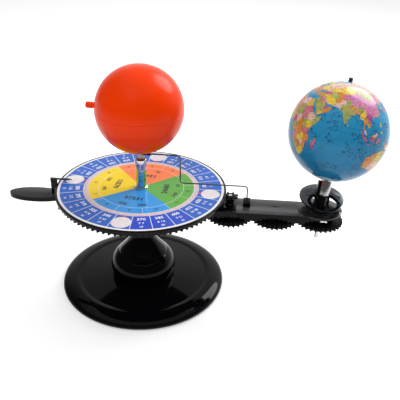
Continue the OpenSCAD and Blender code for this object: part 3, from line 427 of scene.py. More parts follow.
def dial_print():
    f = Finish("dial_print")
    x, y, _ = f.split(f.place)
    radius = (x * x + y * y).math("SQRT") * (1 / MM)
    angle = (y.math("ARCTAN2", x) * (180 / pi) + 360) % 360
    ink = f.grain(160, 4)
    dots = f.grain(2400, 1)

    def between(value, low, high):
        return (value > low) * (value < high)

    def radial_line(step, first, width):
        """1 on a line of a width in millimetres at the first angle and at every step from it."""
        swing = (angle + (step - first)) % step - step / 2
        return (step / 2 - swing.math("ABSOLUTE")) * radius * (pi / 180) < width / 2

    edge = INNER_EDGES
    field = f.blend(ink, LIGHT_BLUE, times(LIGHT_BLUE, 0.9))
    field = f.blend(between(angle, edge["orange_yellow"], edge["yellow_blue"]), field, YELLOW)
    field = f.blend(between(angle, edge["green_orange"], edge["orange_yellow"]), field, ORANGE)
    green = (angle > edge["blue_green"]) + (angle < edge["green_orange"])
    field = f.blend(green, field, GREEN)
    circle = between(radius, ARC_R - 0.3, ARC_R + 0.3)
    spokes = radial_line(30.0, FIRST_SPOKE, 0.55) * between(radius, ARC_R, BAND_IN)
    field = f.blend((circle + spokes).math("MINIMUM", 1.0) * 0.55, field, PAPER)
    deep = f.blend(ink, BLUE, times(BLUE, 0.85))
    # Painted shade: over one stretch of the ring the blue is deeper, for the weaker reflection the
    # gloss shows there.
    deep = f.blend(between(angle, SHADE_FROM, SHADE_TO) * 0.7, deep, SHADED_BLUE)
    ring = f.blend(radial_line(360 / FIELDS, FIRST_LINE, 0.75) * 0.85, deep, PAPER)
    colour = f.blend(radius > RING_IN, field, ring)
    ticks = radial_line(1.25, 0.0, 0.28) * between(radius, TICK_IN, TICK_OUT)
    ticks = ticks + radial_line(7.5, 0.0, 0.4) * between(radius, LONG_TICK_IN, TICK_OUT)
    band = f.blend(ticks.math("MINIMUM", 1.0) * 0.6, BAND, TICK_INK)
    colour = f.blend(between(radius, BAND_IN, RING_IN), colour, band)
    colour = f.blend(radius > RING_OUT, colour, PAPER)
    colour = f.blend(dots * 0.05, colour, (0.5, 0.5, 0.5))
    return f.surface(colour, ink * 0.08 + 0.12, Normal=f.bump(ink, 0.00002),
                     Specular_IOR_Level=0.13)


SHEET_IN_R, SHEET_R, SHEET_UNDER = 6.7, DIAL_R - DIAL_RIM - 0.1, PRINT_TOP - 0.4
sheet = turned([(SHEET_IN_R, SHEET_UNDER), (SHEET_R, SHEET_UNDER), (SHEET_R, PRINT_TOP),
                (SHEET_IN_R, PRINT_TOP)], 192, closed=True)
keep("dial_sheet", sheet, "root", "dial_paper", dial_print(), ["dial_print"])

# %% [markdown]
# ### Numbers, discs and marks on the dial
# Twenty of the 24 fields carry plain white numbers in three rows, the other four a plain white
# disc and a small red pointer. The inner fields carry dark numbers. All are read from outside the
# dial. Text is made a mesh before it is placed, so that its place is in the mesh like every other
# piece's.

# %% Helpers for what is printed on the dial
white_ink = plain("white_ink", (0.80, 0.80, 0.84), (0.70, 0.72, 0.78), 0.4, 500.0, 0.00001)
disc_ink = plain("disc_ink", (0.80, 0.78, 0.80), (0.60, 0.56, 0.58), 0.4, 260.0, 0.00001)
dark_ink = plain("dark_ink", (0.012, 0.012, 0.010), (0.030, 0.026, 0.018), 0.4, 500.0, 0.00001)
red_ink = plain("red_ink", (0.72, 0.03, 0.02), (0.60, 0.02, 0.02), 0.3, 500.0, 0.00001)
INK_LIFT = 0.06


def on_dial(radius, angle, lift=0.0):
    """The place on the print at a radius in millimetres and an angle in degrees."""
    a = radians(angle)
    return Vector((radius * cos(a), radius * sin(a), PRINT_TOP + lift)) * MM


def add_number(bm, text, height, radius, angle, boldness):
    """Text as a mesh, laid on the dial with its foot outwards."""
    curve = bpy.data.curves.new("number", "FONT")
    curve.body, curve.size = text, height * MM
    curve.align_x = curve.align_y = "CENTER"
    curve.extrude = INK_LIFT * MM
    curve.offset = boldness * MM
    curve.resolution_u = 2
    mesh = mesh_of(curve)
    mesh.transform(Matrix.Translation(on_dial(radius, angle))
                   @ Matrix.Rotation(radians(angle + 90), 4, "Z"))
    bm.from_mesh(mesh)
    bpy.data.meshes.remove(mesh)


# %% Numbers
# Height, radius and boldness of the outer fields' three rows, in millimetres
OUTER_ROWS = ((6.0, 68.6, 0.16), (4.4, 76.0, 0.10), (4.0, 82.6, 0.10))
FIELD_NAMES = ((171.0, "13579"), (84.0, "12468"), (356.0, "24680"), (262.0, "97531"))
DISC_EVERY = 6
FIELD_TURN = 360 / FIELDS
white_numbers, dark_numbers = bmesh.new(), bmesh.new()
disc_angles = []
for i in range(FIELDS):
    angle = FIRST_LINE + FIELD_TURN * (i + 0.5)
    if i % DISC_EVERY == DISC_EVERY - 1:
        disc_angles.append(angle)
        continue
    texts = str(15 * i + 100), f"{i % 12 + 1} {(7 * i) % 30 + 1}", str(i + 1)
    for text, (height, radius, boldness) in zip(texts, OUTER_ROWS):
        add_number(white_numbers, text, height, radius, angle, boldness)
for i in range(12):
    spoke = FIRST_SPOKE + 30 * i
    add_number(dark_numbers, str(i + 1), 5.0, 51.4, spoke + 15, 0.12)
    if i % 3 != 1:
        add_number(dark_numbers, str(30 * i + 10), 6.4, 40.2, spoke, 0.16)
for angle, text in FIELD_NAMES:
    add_number(dark_numbers, text, 8.4, 27.0, angle, 0.30)
keep("dial_numbers", white_numbers, "root", "dial_paper", white_ink)
keep("dial_dark_numbers", dark_numbers, "root", "dial_paper", dark_ink)

# %% Discs and pointers
DISC_R, DISC_AT, MARK_R, MARK_AT = 10.1, 76.0, 2.5, 64.7
discs, marks = bmesh.new(), bmesh.new()
for angle in disc_angles:
    made = bmesh.ops.create_cone(discs, cap_ends=True, segments=64, radius1=DISC_R * MM,
                                 radius2=DISC_R * MM, depth=2 * INK_LIFT * MM)
    bmesh.ops.translate(discs, verts=made["verts"], vec=on_dial(DISC_AT, angle))
    made = bmesh.ops.create_cone(marks, cap_ends=True, segments=3, radius1=MARK_R * MM,
                                 radius2=MARK_R * MM, depth=2 * INK_LIFT * MM)
    bmesh.ops.rotate(marks, verts=made["verts"], cent=(0, 0, 0),
                     matrix=Matrix.Rotation(radians(angle + 90), 3, "Z"))
    bmesh.ops.translate(marks, verts=made["verts"], vec=on_dial(MARK_AT, angle, 0.02))
keep("dial_discs", discs, "root", "dial_paper", disc_ink)
keep("dial_marks", marks, "root", "dial_paper", red_ink)

# %% [markdown]
# ## The post and the Sun
# A chromed post stands on a small bright flange in the middle of the dial. It ends in a dark red
# collar, from which a thin pale neck carries the Sun. The Sun is two moulded half shells in thick
# orange lacquer; where they meet there is a fine seam, so each half is spun with its edge turned
# in.

# %% Post, flange and collar
POST_R, POST_TOP, COLLAR_R, COLLAR_TOP, FLANGE_R = 5.9, 156.8, 5.2, 157.7, 7.6
POST_BORE, NECK_BORE, NECK_DEPTH, BORE_CONE, SUNK = 4.0, 2.9, 16, 2, 0.2
FLANGE_H, FLANGE_ROUND, POST_ROUND, COLLAR_ROUND = 1.8, 0.7, 0.5, 0.35
flange = turned([(POST_R, PRINT_TOP - SUNK), (FLANGE_R, PRINT_TOP - SUNK)]
                + top_corner(FLANGE_R, PRINT_TOP + FLANGE_H, FLANGE_ROUND)
                + [(POST_R, PRINT_TOP + FLANGE_H)], 96, closed=True)
keep("post_flange", flange, "root", "chrome", chrome, ["dial_flange"])
post = turned([(POST_BORE, PRINT_TOP - 2 * SUNK), (POST_R, PRINT_TOP - 2 * SUNK)]
              + top_corner(POST_R, POST_TOP, POST_ROUND)
              + [(NECK_BORE, POST_TOP), (NECK_BORE, POST_TOP - NECK_DEPTH),
                 (POST_BORE, POST_TOP - NECK_DEPTH - BORE_CONE)], 128, closed=True)
keep("sun_post", post, "root", "chrome", chrome, ["sun_post"])
collar = turned([(NECK_BORE, POST_TOP), (COLLAR_R, POST_TOP)]
                + top_corner(COLLAR_R, COLLAR_TOP, COLLAR_ROUND, 4)
                + [(NECK_BORE, COLLAR_TOP)], 96, closed=True)
keep("post_collar", collar, "root", "red_plastic", red_gloss, ["post_collar"])

# %% The Sun's lacquer and its two halves
SUN_R, SUN_Z, SUN_WALL, SUN_SEAM, SUN_NECK_R, PAINTED_GLOW_BELOW = 45.7, 212.3, 2.0, 0.25, 2.85, 185.0


def sun_lacquer():
    f = Finish("sun_lacquer")
    clouds = f.grain(14)
    specks = f.grain(700, 2) > 0.72
    # Painted reflection: towards the bottom the orange turns paler and yellower, for the light the
    # dial and floor throw up.
    low = f.ramp(f.split(f.place)[2], (SUN_Z - SUN_R) * MM, PAINTED_GLOW_BELOW * MM, 1.0, 0.0)
    shade = f.blend(clouds, (0.92, 0.050, 0.0004), (0.85, 0.040, 0.0003))
    shade = f.blend(low * 0.5, shade, (0.90, 0.11, 0.001))
    shade = f.blend(specks * 0.12, shade, (0.60, 0.02, 0.001))
    peel = f.grain(420, 2)
    return f.surface(shade, clouds * 0.06 + 0.24 + specks * 0.15, Normal=f.bump(peel, 0.00001),
                     Specular_IOR_Level=0.07, Coat_Weight=0.12, Coat_Roughness=0.16)


lacquer = sun_lacquer()
for half, way, hole in (("sun_upper_half", 1, 0.0), ("sun_lower_half", -1, SUN_NECK_R)):
    keep(half, half_ball(SUN_R, SUN_WALL, SUN_SEAM, hole, way, SUN_Z), "arm", "sun_orange", lacquer,
         [half])

# %% The Sun's peg and neck
PEG_R, PEG_THIN_R, PEG_L, PEG_TIP, PEG_RISE = 3.3, 2.838, 9.5, 1.6, 2.4
PEG_SUNK, PEG_WIDENS, PEG_WIDE = 3, 1.2, 2.6
NECK_FOOT, NECK_INSIDE = 140.3, 2.5
peg = turned([(0, SUN_R - PEG_SUNK), (PEG_THIN_R, SUN_R - PEG_SUNK),
              (PEG_THIN_R, SUN_R + PEG_WIDENS), (PEG_R, SUN_R + PEG_WIDE)]
             + top_corner(PEG_R, SUN_R + PEG_L, PEG_TIP) + [(0, SUN_R + PEG_L)], 64)
bmesh.ops.transform(peg, verts=peg.verts[:], matrix=Matrix.Translation((0, 0, SUN_Z * MM))
                    @ Matrix.Rotation(radians(-90 + PEG_RISE), 4, "Y"))
keep("sun_peg", peg, "arm", "sun_orange", lacquer, ["sun_peg"])
neck_top = SUN_Z - SUN_R + NECK_INSIDE
neck = turned([(0, NECK_FOOT), (SUN_NECK_R, NECK_FOOT), (SUN_NECK_R, neck_top), (0, neck_top)], 64)
keep("sun_neck", neck, "arm", "white_plastic", white_gloss, ["sun_neck"])

# %% [markdown]
# ## The wire crank
# A stiff dark wire pushes the Sun round with the arm: out of the neck, down, over the dial and
# down again into a socket on the arm. A round section is drawn along the bent line, so a curve
# with a round bevel is the natural tool; it is made a mesh at once.

# %% Wire
WIRE_R, BEND_R, DROP_X, HIGH_Z, LOW_Z, SOCKET_X = 0.75, 3.8, 42.2, 162.9, 130.6, 115.0
WIRE_START, WIRE_END = 3.9, 110.2
route = ([(WIRE_START, HIGH_Z)]
         + round_corner(DROP_X - BEND_R, HIGH_Z - BEND_R, BEND_R, 90, 0, 10)
         + round_corner(DROP_X + BEND_R, LOW_Z + BEND_R, BEND_R, 180, 270, 10)
         + round_corner(SOCKET_X - BEND_R, LOW_Z - BEND_R, BEND_R, 90, 0, 10)
         + [(SOCKET_X, WIRE_END)])
wire = drawn("wire", [[(x, 0, z) for x, z in route]], WIRE_R, 6, True)
bmesh.ops.remove_doubles(wire, verts=wire.verts[:], dist=1e-7)
bmesh.ops.recalc_face_normals(wire, faces=wire.faces[:])
keep("wire_crank", wire, "arm", "dark_wire", dark_wire, ["wire_crank"])

# %% [markdown]
# ## The arm and its small parts
# The arm is one black moulding with a round end and a flat top. It and the other flat-sided parts
# are taken from their measured solids and eased.

# %% Eased parts
# Each solid's body, the easing's width in millimetres and its segments, and the finish
EASED = {
    "arm_beam": ("arm", 0.7, 3, arm_black), "arm_cover": ("arm", 0.25, 1, moulding),
    "bearing_saddle": ("arm", 0.35, 2, moulding), "bearing_dish": ("arm", 0.2, 2, moulding),
    "handle": ("arm", 0.7, 3, grip_black), "pointer_post": ("arm", 0.25, 2, moulding),
    "pointer": ("arm", 0.18, 2, grip_black), "wire_socket": ("arm", 0.3, 2, moulding),
    "wire_sleeve": ("arm", 0.3, 2, moulding), "end_clip": ("arm", 0.3, 2, chrome),
    "bearing_collar": ("arm", 0.25, 2, drawn_tube), "ring_gear": ("root", 0.12, 1, gear_black),
    "gear_1": ("drive_1", 0.2, 1, gear_black), "pinion": ("drive_1", 0.15, 1, gear_black),
    "gear_2": ("drive_2", 0.2, 1, gear_black), "gear_3": ("drive_3", 0.2, 1, gear_black),
    "carrier_disc": ("carrier", 0.35, 2, disc_black), "stage_posts": ("carrier", 0.3, 2, moulding),
    "stage_plate": ("carrier", 0.3, 2, stage_black), "stage_ring": ("carrier", 0.25, 2, moulding),
    "axis_bracket": ("carrier", 0.3, 2, moulding), "axis_sleeve": ("carrier", 0.3, 2, drawn_tube),
    "top_pin": ("globe", 0.3, 2, dark_wire),
}
SLOT_OF = {part["node"]: part["material_slot"] for part in frame["record"]["subparts"]}
for node, (body, width, segments, finish) in EASED.items():
    keep(node + "_eased", eased_solid(node, width, segments), body, SLOT_OF[node], finish, [node])

# %% [markdown]
# ## The globe
# The globe is two half shells on a tilted axle, with a printed political map. Its axis leans 23.4
# degrees from upright. The map is turned so that the Indian Ocean faces the photographer.

# %% The globe's own directions
GLOBE_R, GLOBE_WALL, GLOBE_REACH = 53.0, 1.8, 81.4
TILT, LEAN = radians(23.4), radians(67.0)
AXIS = Vector((sin(TILT) * cos(LEAN), sin(TILT) * sin(LEAN), cos(TILT)))
CROSSING = Vector((194.7, 0, 111.7))
CENTRE = CROSSING + AXIS * GLOBE_REACH
FACING_LONGITUDE = 73.0
to_viewer = (VIEW_FROM / MM - CENTRE).normalized()
facing = (to_viewer - AXIS * to_viewer.dot(AXIS)).normalized()
east = AXIS.cross(facing)
turn_back = radians(FACING_LONGITUDE)
GREENWICH = facing * cos(turn_back) - east * sin(turn_back)
globe_turn = Matrix((GREENWICH, AXIS.cross(GREENWICH), AXIS)).transposed()
print("the globe's centre, in mm:", [round(c, 2) for c in CENTRE],
      "seen from latitude", round(degrees(asin(to_viewer.dot(AXIS))), 1))

# %% [markdown]
# ### The sea
# The sea is the shell itself. Its blue is uneven, with deeper patches, and painted lighter in the
# north, for the light from above.
# Over it lie rows of small marks and a fine net of meridians and parallels. Longitude and latitude
# come from the place on the sphere, which a Mapping node first turns back to the globe's own axis.

# %% The sea and the shell
NET_STEP, NET_WIDTH, NET_INK = 15.0, 0.22, (0.10, 0.12, 0.20)
DEEP_SEA, SEA, TOP_LIT_SEA = (0.014, 0.165, 0.32), (0.018, 0.205, 0.40), (0.034, 0.340, 0.62)


def net_over(f):
    """The place turned back to the globe's own axis, and a mask of meridians and parallels."""
    own = f.node("ShaderNodeMapping", {"vector_type": "TEXTURE"},
                 {"Vector": f.place, "Location": CENTRE * MM, "Rotation": globe_turn.to_euler()})
    x, y, z = f.split(own)
    height = z / (GLOBE_R * MM)
    longitude = y.math("ARCTAN2", x) * (180 / pi) + 360
    latitude = height.math("ARCSINE") * (180 / pi) + 90
    round_at = (1 - height * height).math("SQRT")

    def off_line(degrees_there):
        """How far it is to the nearest line of the net, in millimetres on the equator."""
        off = (degrees_there + NET_STEP / 2) % NET_STEP - NET_STEP / 2
        return off.math("ABSOLUTE") * (GLOBE_R * pi / 180)

    meridian = off_line(longitude) * round_at < NET_WIDTH / 2
    parallel = off_line(latitude) < NET_WIDTH / 2
    return own, (meridian + parallel).math("MINIMUM", 1.0)


def small_print(f, own):
    """A mask of marks too small to read, drawn out along the parallels like rows of names."""
    rows = f.node("ShaderNodeMapping", {"vector_type": "POINT"},
                  {"Vector": own, "Scale": (1.0, 1.0, 2.6)})
    return f.grain(430, 2, rows) > 0.56


def sea_finish():
    f = Finish("globe_sea")
    own, net = net_over(f)
    deep = f.grain(26, 5, own)
    shade = f.blend(f.ramp(deep, 0.35, 0.65, 0.0, 1.0), SEA, DEEP_SEA)
    # Painted light: the sea is made lighter towards the north pole, which faces the light from
    # above.
    painted_top_light = f.ramp(f.split(own)[2], -0.6 * GLOBE_R * MM, 0.5 * GLOBE_R * MM, 0.0, 0.85)
    shade = f.blend(painted_top_light, shade, TOP_LIT_SEA)
    words = (f.grain(75, 2, own) > 0.51) * small_print(f, own)
    shade = f.blend((net * 0.22 + words * 0.8).math("MINIMUM", 0.8), shade, (0.006, 0.030, 0.11))
    return f.surface(shade, deep * 0.08 + 0.14, Normal=f.bump(deep, 0.00002),
                     Specular_IOR_Level=0.14, Coat_Weight=0.12, Coat_Roughness=0.12)


sea = sea_finish()
GLOBE_SEAM, PIN_HOLE, AXLE_HOLE = 0.12, 1.4, 2.5
for half, way, hole in (("north", 1, PIN_HOLE), ("south", -1, AXLE_HOLE)):
    shell = half_ball(GLOBE_R, GLOBE_WALL, GLOBE_SEAM, hole, way)
    bmesh.ops.transform(shell, matrix=Matrix.Translation(CENTRE * MM) @ globe_turn.to_4x4(),
                        verts=shell.verts[:])
    keep(f"globe_{half}_half", shell, "globe", "globe_print", sea, ["globe_" + half])

# %% [markdown]
# ### The lands
# Each coast is a listed outline of longitudes and latitudes. It is filled as a flat face,
# cut by planes into small fields, and rolled onto the sphere a hair above the sea. A field takes
# the colour of the nearest of a set of places inside the countries, as on a simple political
# globe.

# %% Coasts
def listed(text):
    """Yields each name with the pairs of longitude and latitude that follow it."""
    for entry in text.split(";"):
        name, *pairs = entry.split()
        yield name, [tuple(map(float, pair.split(","))) for pair in pairs]


COASTS = dict(listed("""
    africa -6,35.8 -2,35.2 3,36.9 10,37.3 11,34 15,32.3 19,30.4 22,32.8 29,31 32.4,31.2 32.6,29.8
        35.5,24 37.2,20 39,15.6 43,12.2 44.5,10.5 51.2,11.9 50,7 47,3.5 43,-0.5 40,-4 39,-8
        40.6,-12 40.5,-15.5 36,-19 35.4,-23.5 32.8,-26 31,-29.8 27,-33.5 20,-34.8 18.3,-34
        17,-29.5 14.5,-23 12,-17 13.5,-10.5 12,-5.5 9,-1 9.6,3.5 6,4.4 1,6 -4,5.2 -8,4.4 -12.5,7.5
        -15,11 -17.3,14.7 -16.2,19 -17,21 -14.5,26 -10,29.5 -9.5,32;
    madagascar 49.3,-12 50.4,-16 48,-22 47,-25 44.5,-25 43.3,-22 44.3,-19.5 44.3,-16.3 47,-15;
    eurasia -5.5,36 -9,37 -9.4,39 -9,43 -2,43.4 -1.5,46 -4.5,48.4 1.5,50.5 4.5,52.5 8.5,53.8
        8.2,57 10.5,57.6 10.9,54.2 14,54 19,54.5 21.2,57 24.2,57.2 23.6,59.2 29.8,59.8 23,60.2
        21.5,61.5 25,65 22,65.7 17.5,61.5 18.5,60 16.5,57 14.2,55.4 12.8,56 11,59 8,58 5.2,59.5
        5,62 10,64.5 14.5,68 20,70 27,71 31,70 41,67.3 40,66.3 33.5,66.8 35,64.3 40.3,65 44,66.3
        44.5,68.5 54,68.5 60,69 67,69 68.5,73 72,72.5 73,69 77,72.5 81,73.5 87,75 98,76 104,77.7
        113,73.7 125,73.5 130,71 140,72.5 152,71 161,69.5 170,70 180,69 180,65 177,62.5 170,60
        163.5,58 162,55 156.8,51 155.7,56 164,62.5 157,61.7 150,59.5 142.5,59 135.5,54.5 140.5,53
        140,48.5 135,43.5 131,42.7 129.7,41 127.5,39.5 129.4,36 126.5,34.5 126.5,37.5 124.5,39.8
        121.5,39 121.5,40.8 118,39 122.3,37.2 119.3,35 121.8,31.5 121.5,28.5 117.5,24 110.5,21
        108,21.5 105.8,19 109,12.5 106.5,10 104.8,8.8 102.5,12 100.5,13.4 99.3,9.5 103.4,4
        104.2,1.4 101.3,3 98.3,8 98.6,12.5 97.3,17 94.3,16 92,21.5 89,22 86.7,20.5 82,16.8
        80.2,13.5 79.8,10.3 77.5,8.1 75,12 72.8,19 72.6,21 69,22.3 66.8,24.8 61.5,25.2 57,26.9
        54,26.7 51,28 49,30.2 48,29.6 50,26.7 51.4,25.2 51.8,24.1 54.2,24.2 56.3,26 57,24
        59.8,22.4 57.8,19 55,17 52,15.8 45,12.8 43.3,12.8 42.7,16.5 39,21.5 36.8,25.5 34.9,29.4
        34.3,31.3 35.9,35 36,36.8 31,36.4 27.5,36.8 26.5,39.5 29,41 35,42 41.5,41.5 37,45 39,47.2
        35,46.2 33.5,44.6 31,46.6 28.5,43.5 28.4,41.5 26,40.8 23.5,40.3 22.8,37 21.2,38.5
        19.4,41.5 14,45.2 12.4,44.5 16,41.8 18.3,40 16.5,39.5 16.1,38 12.3,41.7 10,44 7.5,43.8
        3.2,43 0,40 -0.7,37.6 -2.2,36.8;
    chukotka -180,69 -170,66 -173,64.4 -180,65;
    britain -5.5,50 1.3,51.2 0.3,53 -1.6,55 -2,57.6 -5,58.5 -5.8,56 -3,54 -4.6,53 -3.2,51.5;
    ireland -6,52.2 -6,54.5 -8.3,55 -10,53.5 -9.8,51.7;
    iceland -22,64 -14.5,64.5 -15,66.3 -22,66.2;
    honshu 131,34 135.7,33.5 140.8,35.7 141.9,39.5 141,41.3 139.8,39 136.7,37 132.7,35.5;
    kyushu 130,31.3 131.8,33.2 129.8,33;
    hokkaido 140.2,42 143.2,42 145.5,43.3 141.8,45.4;
    sakhalin 142.2,46 143.5,49 142.8,54.2 141.8,51;
    taiwan 120.2,23 121,22 122,25;
    hainan 108.7,19.3 110,18.4 111,20;
    luzon 120.5,14.5 124,13 122,16.5 122,18.5 120.6,18.4;
    mindanao 122,7.5 125.5,6 126.5,8 125,9.7 123,8.5;
    sumatra 95.3,5.6 98,4 103.5,-1 106,-3.3 105.8,-5.8 102,-4 99,-0.5;
    java 105.3,-6.6 108.5,-6.7 114.3,-7.7 114.4,-8.6 108,-7.8;
    borneo 109,1.5 111.5,2.5 115,5.2 117,7 119,5.2 117.6,1 116,-3.5 114.5,-4.1 110.2,-2.9;
    sulawesi 119.4,-5.4 120.4,-5.5 120.8,-2.8 122.3,-4.8 121.5,-1.9 123.4,-0.8 120.6,-0.8
        120.3,0.4 124.8,1.5 120.8,1.3 119.8,0.3 119,-3;
    timor 123.5,-10.3 127.2,-8.4 124,-9.2;
    new_guinea 131,-0.8 134,-0.9 135,-3.3 138,-1.7 144.5,-3.9 147.5,-6 150.8,-10.5 147,-9.5
        143.5,-8.5 138,-8.3 138.5,-6.5 133,-4;
    sri_lanka 79.8,8 80.5,6 81.8,7.5 80,9.8;
    australia 114,-22 113.7,-26.5 115.7,-31.7 115,-34.2 118,-35 123.5,-33.9 131,-31.5 135.6,-34.8
        138,-33 140.5,-38 146.3,-39 150,-37.4 151.3,-33.5 153.5,-28.5 150.8,-23.3 146.3,-19
        145.3,-15 142.6,-10.8 141.6,-14 140.5,-17.6 136,-15.5 136.8,-12.2 132.6,-11.4 129.5,-14.9
        126,-14.2 122.2,-18 119,-20;
    tasmania 144.7,-40.8 148.3,-40.9 147.5,-43.5 146,-43.4;
    new_zealand_north 172.7,-34.5 178.5,-37.7 175.3,-41.6 174,-39.2;
    new_zealand_south 172.7,-40.6 174.2,-41.8 170.7,-45.8 166.6,-46 170,-43;
    north_america -168,65.6 -166,68.5 -156.5,71.3 -141,69.6 -128,70.2 -115,68 -108,68.5 -96,68.5
        -94,72 -82,69.5 -88,64 -94,61 -94,58.7 -88,56.7 -82.3,55.2 -82,53 -79,51.3 -79,54.7 -77,57
        -78,62.4 -70,61.2 -69,58.8 -65,60 -61.5,56.8 -56,52 -60,50 -66,50 -70,47 -65,48.5 -64,46
        -60,46 -66,43.7 -70,43.6 -70,41.7 -74,40.5 -76,37 -76,35 -81,31.5 -80,26 -81.5,25.2
        -82.7,28 -84,30 -89.5,30.2 -94.5,29.4 -97.3,27 -97.8,22.3 -95.8,18.7 -91.5,18.5 -90.4,21
        -87,21.5 -88.5,16 -83.2,15 -83.7,11 -81.5,9 -77.5,8.7 -78.5,7.6 -80,7.3 -83,8.3 -87.7,13
        -94,16.2 -97,15.8 -105.5,20 -106,23 -109.5,26.7 -112.3,29 -114.8,31.7 -110,23 -114.5,28
        -117,32.5 -120.6,34.5 -124.3,40.3 -124,46.5 -123,49 -128,51 -131,55 -135,58.3 -140,59.7
        -147,61 -152,59 -158,56.5 -164,54.7 -157.5,58.8 -162,59 -165.5,61.5 -161,64.5;
    south_america -77.5,8.7 -72,12 -62,10.7 -57,6 -51,4.5 -50,0 -44,-2.5 -38.5,-3.7 -35,-6 -35,-9
        -39,-13 -39,-17.8 -41,-22 -48.5,-25.5 -48.7,-28.3 -53.5,-34 -57.5,-36 -57.5,-38 -62,-39
        -65,-41 -65.5,-45 -67.5,-46.5 -65.8,-48 -69,-51 -68,-54 -73,-53 -75.5,-49 -73.5,-41
        -73.3,-37 -71.5,-30 -70.3,-18.3 -76.3,-13.8 -81.3,-5 -80,-0.5 -77.5,3.5;
    greenland -73,78 -60,82 -30,83.5 -18,80 -20,74 -26,69 -40,65 -44,60 -50,62 -54,68 -55,71
        -60,76;
    baffin -90,73.5 -80,73.7 -68,70 -61.5,66.5 -68,62.5 -73,68 -85,71;
    ellesmere -90,81 -62,82.5 -75,78 -89,76.5;
    victoria -118,71 -105,73 -101,69 -114,68.9;
    cuba -84.8,22 -80,23 -74.3,20.2 -77.5,20;
    hispaniola -74,18.3 -68.5,18.6 -72.7,19.9;
    novaya_zemlya 52,71 57,70.7 62,75 68.5,76.9 58,74.5;
    svalbard 12,78 20,77 27,80 15,80;
    antarctica -180,-78 -160,-78 -150,-76 -120,-73.5 -100,-72.5 -75,-73 -68,-67 -57,-63.3 -62,-70
        -60,-75 -40,-78 -20,-73 0,-70 30,-69.5 55,-66.5 80,-68 110,-66 140,-66.7 165,-71 163,-77.5
        180,-78 180,-86 -180,-86
"""))
print("coasts:", len(COASTS), "with", sum(map(len, COASTS.values())), "points")

